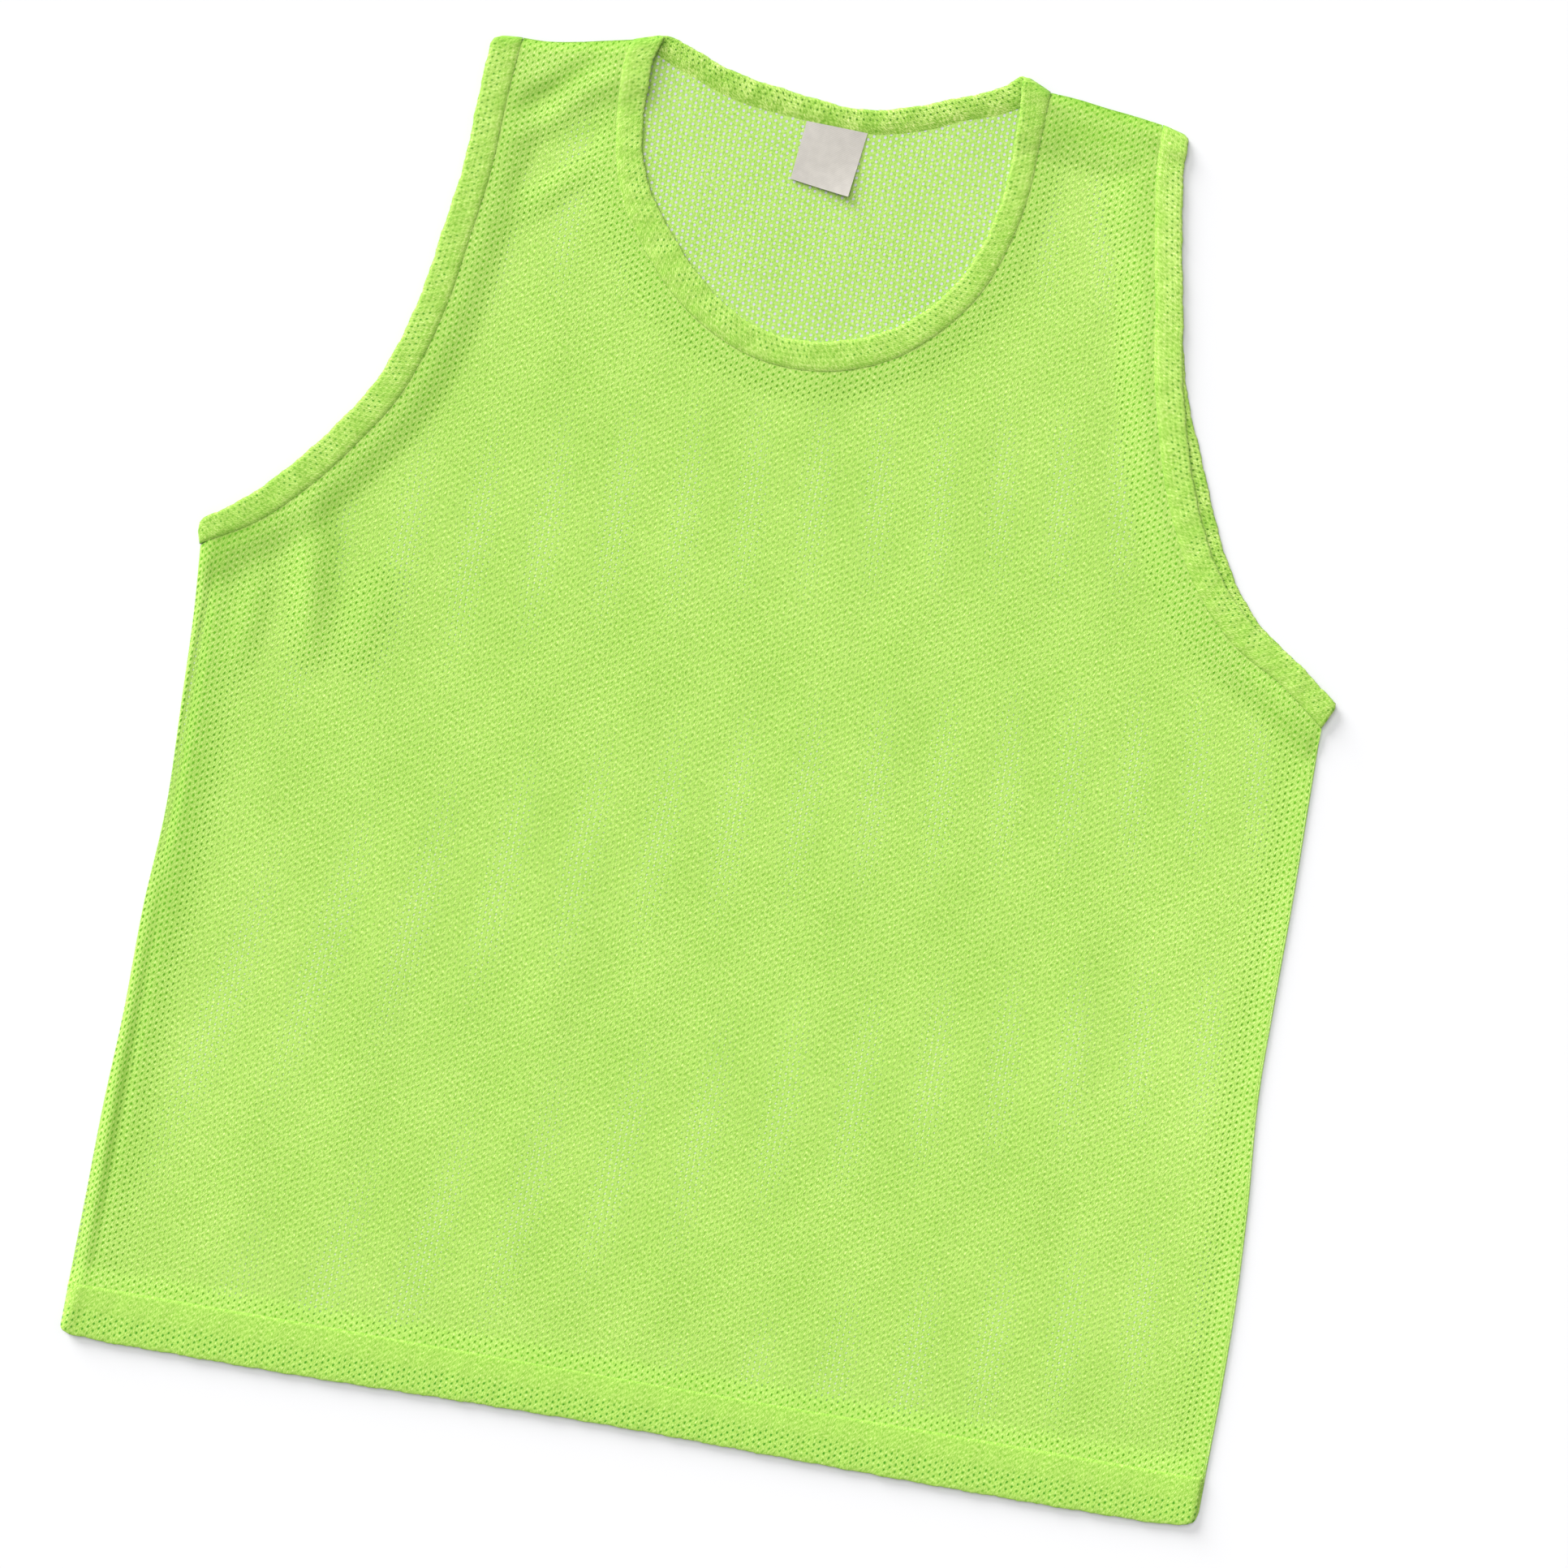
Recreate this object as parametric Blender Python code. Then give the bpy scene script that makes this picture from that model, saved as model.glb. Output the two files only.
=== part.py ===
"""A training bib of mesh cloth, laid flat on its back.

Sizes are in millimetres, measured from the middle of the hem: x across the bib, y from the hem up
to the neck, z up from the surface it lies on. Single cloth and doubled cloth (bands and hems) are
closed walls. Pieces that are sewn edge to edge keep SEAM between them, and so do stacked layers.
"""
import bpy
import bmesh
import numpy as np

COLLECTION = "training_bib"
MILLIMETRE = 0.001

# Driving sizes
SINGLE = 1.0            # wall of one layer of mesh cloth
DOUBLED = 2.0           # wall of a folded band or hem
SEAM = 0.3              # space between sewn or stacked pieces
HEM_TOP = 22.0          # height of the turned-up hem
BAND_WIDTH = 12.5       # width of the armhole bands
RIM = 2.8               # strip of the back panel that shows past the front at the right side
LABEL_WALL = 1.0
TUCK = 2.0              # the back's left armhole lies this far inside the front's
MIDDLE_X = 0.4          # middle of the whole outline, which becomes the origin
MIDDLE_Y = 304.2

# How the front lies on the back
OVER_SINGLE = SINGLE + SEAM
OVER_DOUBLED = DOUBLED + SEAM
LEVEL_REACH = 4.0       # the front stays raised this far past a doubled edge below it
FADE_REACH = 22.0       # and then sinks to the single cloth over this distance
SHOULDER_REACH = 9.0    # the back panel rises to its shoulder seams over this distance
SHOULDER_RISE = 1.0

# Number of steps along each edge
SIDE_STEPS = 22
ARMHOLE_STEPS = 14
STRAP_STEPS = 6
SHOULDER_STEPS = 5
SCOOP_STEPS = 34
BACK_SCOOP_STEPS = 16
HEM_STEPS = 30
ARMHOLE_BAND_STEPS = (ARMHOLE_STEPS, STRAP_STEPS)
NECK_FRONT_STEPS = (STRAP_STEPS, SCOOP_STEPS, STRAP_STEPS)
NECK_BACK_STEPS = (STRAP_STEPS, BACK_SCOOP_STEPS, STRAP_STEPS)
SUBSTEPS = 12           # points of a smooth line between two rows of its table

# Side edges from the hem to the underarm: x, y
SIDE_LEFT = [
    (-249.8, 22.0), (-249.0, 60.0), (-248.2, 100.0), (-246.4, 140.0), (-245.7, 190.0),
    (-243.4, 230.0), (-244.6, 280.0), (-246.0, 320.0), (-248.0, 347.2),
]
SIDE_RIGHT = [
    (251.4, 22.0), (252.0, 60.0), (251.7, 100.0), (249.8, 140.0), (246.1, 190.0),
    (246.0, 230.0), (246.3, 280.0), (245.9, 320.0), (245.6, 351.2),
]

# Bands, a row for each section across them: free edge x, y, sewn edge x, y
ARMHOLE_LEFT = [
    (-251.0, 357.0, -248.3, 347.5),
    (-233.0, 370.0, -226.3, 360.4),
    (-213.2, 390.0, -204.4, 381.2),
    (-197.7, 410.0, -188.0, 402.5),
    (-185.0, 430.0, -173.8, 424.8),
    (-177.4, 450.0, -165.6, 446.4),
    (-172.2, 470.0, -160.2, 467.4),
    (-167.5, 500.0, -155.3, 498.0),
    (-163.3, 530.0, -151.1, 529.0),
    (-162.1, 560.0, -149.6, 560.0),
    (-160.7, 587.0, -147.4, 588.2),
]
ARMHOLE_RIGHT = [
    (250.5, 362.5, 245.3, 351.5),
    (230.0, 378.0, 224.0, 367.6),
    (209.5, 390.0, 203.0, 379.6),
    (190.5, 410.0, 181.2, 402.0),
    (179.5, 430.0, 168.4, 424.6),
    (171.5, 450.0, 159.8, 445.6),
    (165.5, 470.0, 153.5, 467.0),
    (160.0, 492.0, 147.8, 490.0),
    (155.4, 520.0, 143.3, 518.4),
    (151.5, 540.0, 139.5, 538.6),
    (148.1, 560.0, 136.1, 559.2),
    (145.3, 580.0, 133.4, 579.6),
    (145.0, 595.0, 133.0, 598.2),
]
# Right armhole of the back, whose band shows past the front one between the underarm and the chest
ARMHOLE_RIGHT_BACK = [
    (250.5, 362.5, 245.3, 351.5),
    (227.6, 380.0, 221.0, 369.4),
    (213.2, 390.0, 205.4, 380.4),
    (203.7, 400.0, 194.3, 392.2),
    (190.9, 420.0, 180.3, 414.2),
    (181.8, 440.0, 170.5, 435.6),
    (173.6, 460.0, 162.0, 456.0),
    (165.1, 480.0, 153.4, 476.8),
    (159.3, 500.0, 147.2, 498.0),
    (155.4, 520.0, 143.3, 518.4),
    (151.5, 540.0, 139.5, 538.6),
    (148.1, 560.0, 136.1, 559.2),
    (145.3, 580.0, 133.4, 579.6),
    (145.0, 595.0, 133.0, 598.2),
]
NECK_FRONT = [
    (-86.0, 600.0, -100.0, 595.6),
    (-89.3, 590.0, -102.0, 588.0),
    (-90.0, 575.0, -102.3, 574.0),
    (-89.5, 560.0, -101.0, 557.5),
    (-86.8, 545.0, -98.0, 540.5),
    (-80.0, 530.0, -91.0, 522.5),
    (-69.5, 516.0, -79.5, 506.0),
    (-56.5, 501.5, -65.5, 490.5),
    (-40.0, 488.5, -46.5, 476.8),
    (-22.0, 480.8, -25.0, 468.3),
    (-5.0, 479.2, -5.0, 466.4),
    (12.0, 482.3, 14.8, 469.3),
    (30.0, 489.6, 36.0, 478.6),
    (46.0, 502.0, 54.0, 494.0),
    (58.0, 518.0, 67.4, 512.2),
    (66.0, 538.0, 76.2, 535.0),
    (70.0, 558.0, 80.6, 557.0),
    (70.8, 580.0, 81.8, 580.0),
    (69.5, 609.5, 82.5, 603.8),
]
NECK_FRONT_ROWS = (5, 15)       # rows where the scoop passes into the two shoulder straps
ARMHOLE_LEFT_ROW = 8            # rows of the armholes at the same height
ARMHOLE_RIGHT_ROW = 9
ARMHOLE_RIGHT_BACK_ROW = 10
NECK_BACK = [
    (-86.0, 600.0, -97.5, 596.4),
    (-79.0, 598.2, -86.5, 589.6),
    (-70.0, 594.8, -75.0, 584.8),
    (-60.0, 591.0, -63.0, 580.2),
    (-48.0, 588.0, -49.5, 576.6),
    (-30.0, 585.4, -30.8, 574.4),
    (-12.0, 583.2, -12.0, 572.6),
    (0.0, 582.4, 0.4, 571.9),
    (12.0, 584.0, 13.6, 573.2),
    (30.0, 589.4, 33.4, 578.8),
    (44.0, 595.0, 48.6, 585.0),
    (56.0, 599.6, 61.6, 589.8),
    (64.0, 604.6, 71.6, 595.4),
    (69.5, 609.5, 81.5, 603.6),
]
NECK_BACK_ROWS = (1, 12)

# Shoulder edges from the armhole to the neck: x, y
SHOULDER_LEFT = [(-147.1, 588.2), (-138.0, 588.3), (-124.0, 590.4), (-112.0, 593.0), (-100.3, 595.5)]
SHOULDER_RIGHT = [(132.7, 598.2), (121.0, 599.8), (108.0, 601.2), (95.0, 602.9), (82.8, 603.7)]

# Lower edge of the hem: x, y
HEM_EDGE = [
    (-250.0, 6.0), (-249.2, 2.0), (-246.0, 0.2), (-240.0, -0.4), (-200.0, -1.0), (-150.0, -1.1),
    (-60.0, 0.2), (0.0, 0.6), (60.0, -0.2), (150.0, -1.1), (215.0, -0.9), (236.0, -0.5),
    (244.0, 0.3), (249.6, 2.4), (251.2, 7.0),
]

# Soft folds of the front: from x, y, to x, y, half width, height
FOLDS = [
    (-203.0, 392.0, -207.0, 290.0, 9.0, 3.6),
    (-223.0, 352.0, -228.0, 285.0, 7.0, 1.8),
    (-172.0, 352.0, -180.0, 296.0, 11.0, 1.6),
    (-112.0, 590.0, -150.0, 544.0, 7.5, 2.6),
    (-104.0, 566.0, -142.0, 512.0, 8.0, 1.8),
    (86.0, 590.0, 128.0, 588.0, 7.0, 2.4),
    (117.0, 586.0, 126.0, 540.0, 8.0, 1.5),
    (218.0, 372.0, 232.0, 318.0, 8.0, 1.6),
    (-60.0, 300.0, -66.0, 60.0, 22.0, 0.7),
    (62.0, 440.0, 44.0, 210.0, 20.0, 0.8),
    (150.0, 330.0, 158.0, 90.0, 24.0, 0.9),
    (-140.0, 250.0, -150.0, 50.0, 20.0, 0.8),
    (56.0, 598.0, 88.0, 608.0, 8.0, 1.8),
]

# Neck label: corners x, y, from the free left one round; the free right one curls up
LABEL = [(-22.5, 547.5), (3.5, 543.8), (7.2, 571.4), (-19.8, 572.6)]
LABEL_STEPS = 6
LABEL_CURL = 1.6

# Finishes: colour, roughness
CLOTH_FINISH = ((0.49, 0.80, 0.16), 0.85)
BAND_FINISH = ((0.42, 0.72, 0.12), 0.80)
LABEL_FINISH = ((0.70, 0.66, 0.60), 0.45)


def smooth(rows):
    """A fine smooth line through the rows of a table, SUBSTEPS points from one row to the next."""
    rows = np.array(rows, float)
    chord = np.linalg.norm(np.diff(rows, axis=0), axis=1)
    place = np.concatenate([[0.0], np.cumsum(chord)])
    slope = np.gradient(rows, place, axis=0)
    line = []
    for i, length in enumerate(chord):
        for t in np.arange(SUBSTEPS) / SUBSTEPS:
            line.append(
                (2 * t**3 - 3 * t**2 + 1) * rows[i]
                + (t**3 - 2 * t**2 + t) * length * slope[i]
                + (3 * t**2 - 2 * t**3) * rows[i + 1]
                + (t**3 - t**2) * length * slope[i + 1]
            )
    line.append(rows[-1])
    return np.array(line)


def even(line, steps):
    """The same line in equal steps."""
    place = np.concatenate([[0.0], np.cumsum(np.linalg.norm(np.diff(line, axis=0), axis=1))])
    wanted = np.linspace(0.0, place[-1], steps + 1)
    return np.stack([np.interp(wanted, place, line[:, i]) for i in range(line.shape[1])], axis=1)


def stretch(line, first_row, last_row, steps):
    """The part of a smooth line between two rows of its table, in equal steps."""
    return even(line[first_row * SUBSTEPS:last_row * SUBSTEPS + 1], steps)


def stations(line, rows, steps):
    """A smooth line in equal steps within each stretch, where the stretches meet at the given rows."""
    ends = (0, *rows, last_row(line))
    parts = [stretch(line, a, b, n)[:-1] for a, b, n in zip(ends[:-1], ends[1:], steps)]
    return np.concatenate([*parts, line[-1:]])


def last_row(line):
    """The number of the last row of a smooth line's table."""
    return (len(line) - 1) // SUBSTEPS


def free_edge(band):
    """The free edge of a band's table, as a smooth line."""
    return smooth([row[:2] for row in band])


def sewn_edge(band, beyond=0.0):
    """The sewn edge of a band's table, or the line that lies beyond it, where the panel ends."""
    rows = np.array(band)
    across = rows[:, 2:] - rows[:, :2]
    across /= np.linalg.norm(across, axis=1)[:, None]
    return smooth(rows[:, 2:] + beyond * across)


def panel_edge(band, first_corner, last_corner):
    """The panel's edge along a band, with its ends on the corners that it shares with other edges."""
    line = sewn_edge(band, SEAM)
    line[0] = first_corner
    line[-1] = last_corner
    return line


def side_edge(table, inset=0.0):
    """A side edge from just above the hem to the underarm."""
    line = smooth(table)
    line[0, 1] += SEAM
    line[:, 0] -= inset
    return line


def tucked(band, reach):
    """A band's table moved inwards, most in the middle."""
    rows = np.array(band)
    share = np.sin(np.pi * np.linspace(0.0, 1.0, len(rows)))
    rows[:, [0, 2]] += reach * share[:, None]
    return rows


def distance(line, x, y):
    """The distance from a point to a line."""
    start = line[:-1]
    along = line[1:] - start
    point = np.array([x, y])
    t = np.sum((point - start) * along, axis=1) / np.sum(along * along, axis=1)
    nearest = start + np.clip(t, 0.0, 1.0)[:, None] * along
    return np.min(np.linalg.norm(point - nearest, axis=1))


def ease(t):
    """A soft step from 0 to 1."""
    t = min(max(t, 0.0), 1.0)
    return t * t * (3 - 2 * t)


ARMHOLE_EDGES = [even(free_edge(ARMHOLE_LEFT), 60), even(free_edge(ARMHOLE_RIGHT), 60)]
SHOULDER_EDGES = [even(smooth(SHOULDER_LEFT), 12), even(smooth(SHOULDER_RIGHT), 12)]
DOUBLED_EDGES = ARMHOLE_EDGES + SHOULDER_EDGES + [even(free_edge(NECK_BACK), 40)]


def fold_height(x, y):
    """What the soft folds add to the front's height."""
    height = 0.0
    for x0, y0, x1, y1, half_width, rise in FOLDS:
        length = np.hypot(x1 - x0, y1 - y0)
        ux, uy = (x1 - x0) / length, (y1 - y0) / length
        place = ((x - x0) * ux + (y - y0) * uy) / length
        aside = (x - x0) * uy - (y - y0) * ux
        if 0.0 < place < 1.0:
            height += rise * np.sin(np.pi * place) * np.exp(-(aside / half_width) ** 2)
    return height


def front_under(x, y):
    """Underside of the front: raised over the doubled edges of the back, resting on it elsewhere."""
    past = [distance(edge, x, y) - BAND_WIDTH for edge in DOUBLED_EDGES]
    past.append(y - HEM_TOP)
    raised = ease((LEVEL_REACH + FADE_REACH - min(past)) / FADE_REACH)
    return OVER_SINGLE + (OVER_DOUBLED - OVER_SINGLE) * raised + fold_height(x, y)


def back_under(x, y):
    """Underside of the back: flat, but for the rise to its shoulder seams."""
    near = min(distance(edge, x, y) for edge in SHOULDER_EDGES)
    return SHOULDER_RISE * ease(1.0 - near / SHOULDER_REACH)


def flat_under(x, y):
    """Underside of a piece that lies flat on the surface."""
    return 0.0


def finish(obj, look):
    """A plain material with the piece's colour."""
    colour, roughness = look
    material = bpy.data.materials.new(obj.name)
    material.use_nodes = True
    shader = material.node_tree.nodes["Principled BSDF"]
    shader.inputs["Base Color"].default_value = (*colour, 1.0)
    shader.inputs["Roughness"].default_value = roughness
    shader.inputs["Metallic"].default_value = 0.0
    obj.data.materials.append(material)


def patch(bottom, top, left, right):
    """A grid of points between four edges that meet at their corners."""
    u = np.linspace(0.0, 1.0, len(bottom))[None, :, None]
    v = np.linspace(0.0, 1.0, len(left))[:, None, None]
    across = (1 - v) * bottom[None] + v * top[None]
    upward = (1 - u) * left[:, None] + u * right[:, None]
    corners = (1 - v) * ((1 - u) * bottom[0] + u * bottom[-1]) + v * ((1 - u) * top[0] + u * top[-1])
    return across + upward - corners


def layer(grid, wall_height=SINGLE):
    """A grid's points as x, y, wall height and lift."""
    rows, columns, _ = grid.shape
    full = np.zeros((rows, columns, 4))
    full[..., :2] = grid
    full[..., 2] = wall_height
    return full


def strip(outer, inner):
    """A doubled band between its edges: thin at the free edge, full behind it, thinner at the seam."""
    sections = [(0.0, 0.65), (0.18, 1.0), (1.0, 0.85)]      # place across, share of the full wall
    grid = np.zeros((len(sections), len(outer), 4))
    for i, (place, share) in enumerate(sections):
        grid[i, :, :2] = outer + place * (inner - outer)
        grid[i, :, 2] = DOUBLED * share
    return grid


def rim(edge):
    """The strip outside the back's right edge, which rises to the height of the front."""
    grid = np.zeros((2, len(edge), 4))
    grid[:, :, :2] = edge
    grid[1, :, 0] += RIM - 0.2
    grid[1, :, 3] = OVER_SINGLE
    grid[:, :, 2] = SINGLE
    return grid


def wall(name, grids, under, look):
    """A closed wall from grids of x, y, wall height and lift, which share their common edges."""
    shape = bmesh.new()
    wall_height = shape.verts.layers.float.new("wall_height")
    for grid in grids:
        points = []
        for x, y, height, lift in grid.reshape(-1, 4):
            at = np.array([x - MIDDLE_X, y - MIDDLE_Y, under(x, y) + lift]) * MILLIMETRE
            point = shape.verts.new(at)
            point[wall_height] = height * MILLIMETRE
            points.append(point)
        rows, columns, _ = grid.shape
        for j in range(rows - 1):
            for i in range(columns - 1):
                k = j * columns + i
                shape.faces.new((points[k], points[k + 1], points[k + columns + 1], points[k + columns]))
    bmesh.ops.remove_doubles(shape, verts=shape.verts, dist=0.00001)
    extruded = bmesh.ops.extrude_face_region(shape, geom=shape.faces[:])
    for item in extruded["geom"]:
        if isinstance(item, bmesh.types.BMVert):
            item.co.z += item[wall_height]
    bmesh.ops.recalc_face_normals(shape, faces=shape.faces)
    mesh = bpy.data.meshes.new(name)
    shape.to_mesh(mesh)
    shape.free()
    mesh.shade_smooth()
    mesh.set_sharp_from_angle(angle=np.radians(50))
    obj = bpy.data.objects.new(name, mesh)
    bpy.data.collections[COLLECTION].objects.link(obj)
    finish(obj, look)


def panel_grids(left_side, right_side, left_arm, right_arm, arm_rows, neck, neck_rows, scoop_steps):
    """Grids of a panel: its body up to the scoop's corners, then a strap on each side of the neck."""
    left = np.concatenate([
        even(left_side, SIDE_STEPS)[:-1], stretch(left_arm, 0, arm_rows[0], ARMHOLE_STEPS),
    ])
    right = np.concatenate([
        even(right_side, SIDE_STEPS)[:-1], stretch(right_arm, 0, arm_rows[1], ARMHOLE_STEPS),
    ])
    scoop = stretch(neck, neck_rows[0], neck_rows[1], scoop_steps)
    left_top = np.linspace(left[-1], scoop[0], SHOULDER_STEPS + 1)
    right_top = np.linspace(scoop[-1], right[-1], SHOULDER_STEPS + 1)
    top = np.concatenate([left_top[:-1], scoop, right_top[1:]])
    body = patch(np.linspace(left[0], right[0], len(top)), top, left, right)
    left_strap = patch(
        left_top,
        even(smooth(SHOULDER_LEFT), SHOULDER_STEPS),
        stretch(left_arm, arm_rows[0], last_row(left_arm), STRAP_STEPS),
        stretch(neck, 0, neck_rows[0], STRAP_STEPS)[::-1],
    )
    right_strap = patch(
        right_top,
        even(smooth(SHOULDER_RIGHT), SHOULDER_STEPS)[::-1],
        stretch(neck, neck_rows[1], last_row(neck), STRAP_STEPS),
        stretch(right_arm, arm_rows[1], last_row(right_arm), STRAP_STEPS),
    )
    return [layer(body), layer(left_strap), layer(right_strap)]


def build_front_panel():
    """The front panel, laid on the back, a strip narrower than it at the right side."""
    left_side = side_edge(SIDE_LEFT)
    right_side = side_edge(SIDE_RIGHT, RIM)
    grids = panel_grids(
        left_side,
        right_side,
        panel_edge(ARMHOLE_LEFT, left_side[-1], SHOULDER_LEFT[0]),
        panel_edge(ARMHOLE_RIGHT, right_side[-1], SHOULDER_RIGHT[0]),
        (ARMHOLE_LEFT_ROW, ARMHOLE_RIGHT_ROW),
        panel_edge(NECK_FRONT, SHOULDER_LEFT[-1], SHOULDER_RIGHT[-1]),
        NECK_FRONT_ROWS,
        SCOOP_STEPS,
    )
    wall("front_panel", grids, front_under, CLOTH_FINISH)


def build_back_panel():
    """The back panel, flat on the surface, with a rim turned up at its right side."""
    left_side = side_edge(SIDE_LEFT)
    right_side = side_edge(SIDE_RIGHT, RIM)
    grids = panel_grids(
        left_side,
        right_side,
        panel_edge(tucked(ARMHOLE_LEFT, TUCK), left_side[-1], SHOULDER_LEFT[0]),
        panel_edge(ARMHOLE_RIGHT_BACK, right_side[-1], SHOULDER_RIGHT[0]),
        (ARMHOLE_LEFT_ROW, ARMHOLE_RIGHT_BACK_ROW),
        panel_edge(NECK_BACK, SHOULDER_LEFT[-1], SHOULDER_RIGHT[-1]),
        NECK_BACK_ROWS,
        BACK_SCOOP_STEPS,
    )
    grids.append(rim(even(right_side, SIDE_STEPS)))
    wall("back_panel", grids, back_under, CLOTH_FINISH)


def build_band(name, band, rows, steps, under):
    """A neck or armhole band, in the same steps as the panel's edge beside it."""
    outer = stations(free_edge(band), rows, steps)
    inner = stations(sewn_edge(band), rows, steps)
    wall(name, [strip(outer, inner)], under, BAND_FINISH)


def build_hem(name, inset, under):
    """The turned-up lower edge of a panel, narrower at the right by the inset."""
    lower = smooth(HEM_EDGE)
    span = lower[-1, 0] - lower[0, 0]
    lower[:, 0] -= inset * (lower[:, 0] - lower[0, 0]) / span
    upper = np.array([(SIDE_LEFT[0][0], HEM_TOP), (SIDE_RIGHT[0][0] - inset, HEM_TOP)])
    wall(name, [strip(even(lower, HEM_STEPS), even(upper, HEM_STEPS))], under, BAND_FINISH)


def build_label():
    """The neck label, flat on the inside of the back, with one corner curled."""
    corners = np.array(LABEL)
    bottom = np.linspace(corners[0], corners[1], LABEL_STEPS + 1)
    top = np.linspace(corners[3], corners[2], LABEL_STEPS + 1)
    left = np.linspace(corners[0], corners[3], LABEL_STEPS + 1)
    right = np.linspace(corners[1], corners[2], LABEL_STEPS + 1)
    grid = layer(patch(bottom, top, left, right), LABEL_WALL)
    toward_right = np.linspace(0.0, 1.0, LABEL_STEPS + 1)[None, :]
    toward_bottom = np.linspace(1.0, 0.0, LABEL_STEPS + 1)[:, None]
    grid[..., 3] = OVER_SINGLE + LABEL_CURL * (toward_right * toward_bottom) ** 2
    wall("label", [grid], flat_under, LABEL_FINISH)


def main():
    """The whole bib."""
    for obj in list(bpy.data.objects):
        bpy.data.objects.remove(obj, do_unlink=True)
    bpy.context.scene.collection.children.link(bpy.data.collections.new(COLLECTION))
    build_back_panel()
    build_hem("hem_back", 0.0, flat_under)
    build_band("neck_band_back", NECK_BACK, NECK_BACK_ROWS, NECK_BACK_STEPS, flat_under)
    build_band(
        "armhole_band_left_back", tucked(ARMHOLE_LEFT, TUCK), [ARMHOLE_LEFT_ROW], ARMHOLE_BAND_STEPS,
        flat_under,
    )
    build_band(
        "armhole_band_right_back", ARMHOLE_RIGHT_BACK, [ARMHOLE_RIGHT_BACK_ROW], ARMHOLE_BAND_STEPS,
        flat_under,
    )
    build_label()
    build_front_panel()
    build_hem("hem_front", RIM, front_under)
    build_band("neck_band_front", NECK_FRONT, NECK_FRONT_ROWS, NECK_FRONT_STEPS, front_under)
    build_band(
        "armhole_band_left_front", ARMHOLE_LEFT, [ARMHOLE_LEFT_ROW], ARMHOLE_BAND_STEPS, front_under,
    )
    build_band(
        "armhole_band_right_front", ARMHOLE_RIGHT, [ARMHOLE_RIGHT_ROW], ARMHOLE_BAND_STEPS, front_under,
    )


main()
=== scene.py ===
"""The looks of a training bib of yellow-green mesh, laid flat on a white surface.

Sizes in the tables are millimetres from the middle of the hem, as in the part's source.
"""
import math

import bmesh
import bpy
import numpy as np
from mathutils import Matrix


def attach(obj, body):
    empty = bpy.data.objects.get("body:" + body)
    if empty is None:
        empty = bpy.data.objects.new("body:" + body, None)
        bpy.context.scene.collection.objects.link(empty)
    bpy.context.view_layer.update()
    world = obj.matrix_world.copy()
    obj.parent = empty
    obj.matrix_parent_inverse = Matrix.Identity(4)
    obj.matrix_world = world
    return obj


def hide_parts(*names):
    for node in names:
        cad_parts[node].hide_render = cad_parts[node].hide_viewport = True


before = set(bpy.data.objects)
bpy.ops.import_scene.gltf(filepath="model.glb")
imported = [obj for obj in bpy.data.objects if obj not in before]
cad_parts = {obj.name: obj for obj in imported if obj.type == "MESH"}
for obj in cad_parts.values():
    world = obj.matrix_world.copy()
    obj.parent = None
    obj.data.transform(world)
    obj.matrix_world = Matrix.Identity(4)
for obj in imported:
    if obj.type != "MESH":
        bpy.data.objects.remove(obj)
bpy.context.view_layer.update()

MILLIMETRE = 0.001

# The bib's middle in the tables, which lies at the frame's origin
MIDDLE_X = 0.4
MIDDLE_Y = 304.2

# Heights of the middle of each layer of cloth
CLOTH = 0.04            # wall of one layer, kept thin so that the holes are no deep tubes
BACK_LEVEL = 0.30
FRONT_LEVEL = 0.37      # where the front rests on the back
BACK_BAND_LEVEL = 0.82  # bands and hem of the back, which lie on the board

BAND_WIDTH = 12.5
HEM_TOP = 22.0
HEM_WIDTH = 500.0       # the driving size
RIM = 1.2               # strip of the back that shows past the front at the right side
RIM_FADE = 18.0         # it narrows over this distance below the underarm
RIM_REST = 0.1          # to this share

# Steps along the edges
SUBSTEPS = 12           # points of a smooth line from one row of its table to the next
SIDE_STEPS = 84
ARMHOLE_STEPS = 54
STRAP_STEPS = 22
SHOULDER_STEPS = 20
SCOOP_STEPS = 104
BAND_STEP = 1.2         # length of one section of a band
HEM_STEPS = 300
LABEL_STEPS = 14
BACK_FINENESS = 0.6     # the back panel, which is nearly flat, has this share of the front's steps
CORNER_PULL = 12        # the higher, the nearer to its corner a panel's edge keeps to its line
MERGE = 0.00002         # points closer than this, in metres, become one
SHARP_ANGLE = 50.0      # edges that turn by more than this, in degrees, stay sharp
# Widths of the columns beside a panel's edges, and the share of its width on each side of the scoop
EDGE_COLUMNS = [0.0, 0.5, 0.6, 0.7, 0.8, 1.0, 1.2, 1.4, 1.6, 1.8, 2.0, 2.2, 2.4]
SHOULDER_SHARE = 0.15

# Side edges from the hem to the underarm: x, y
SIDE_LEFT = [
    (-249.8, 22.0), (-249.0, 60.0), (-248.2, 100.0), (-246.4, 140.0), (-245.7, 190.0),
    (-243.4, 230.0), (-244.6, 280.0), (-246.0, 320.0), (-248.0, 347.2),
]
SIDE_RIGHT = [
    (251.4, 22.0), (252.0, 60.0), (251.7, 100.0), (249.8, 140.0), (246.1, 190.0),
    (246.0, 230.0), (246.3, 280.0), (245.9, 320.0), (245.6, 351.2),
]

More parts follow.
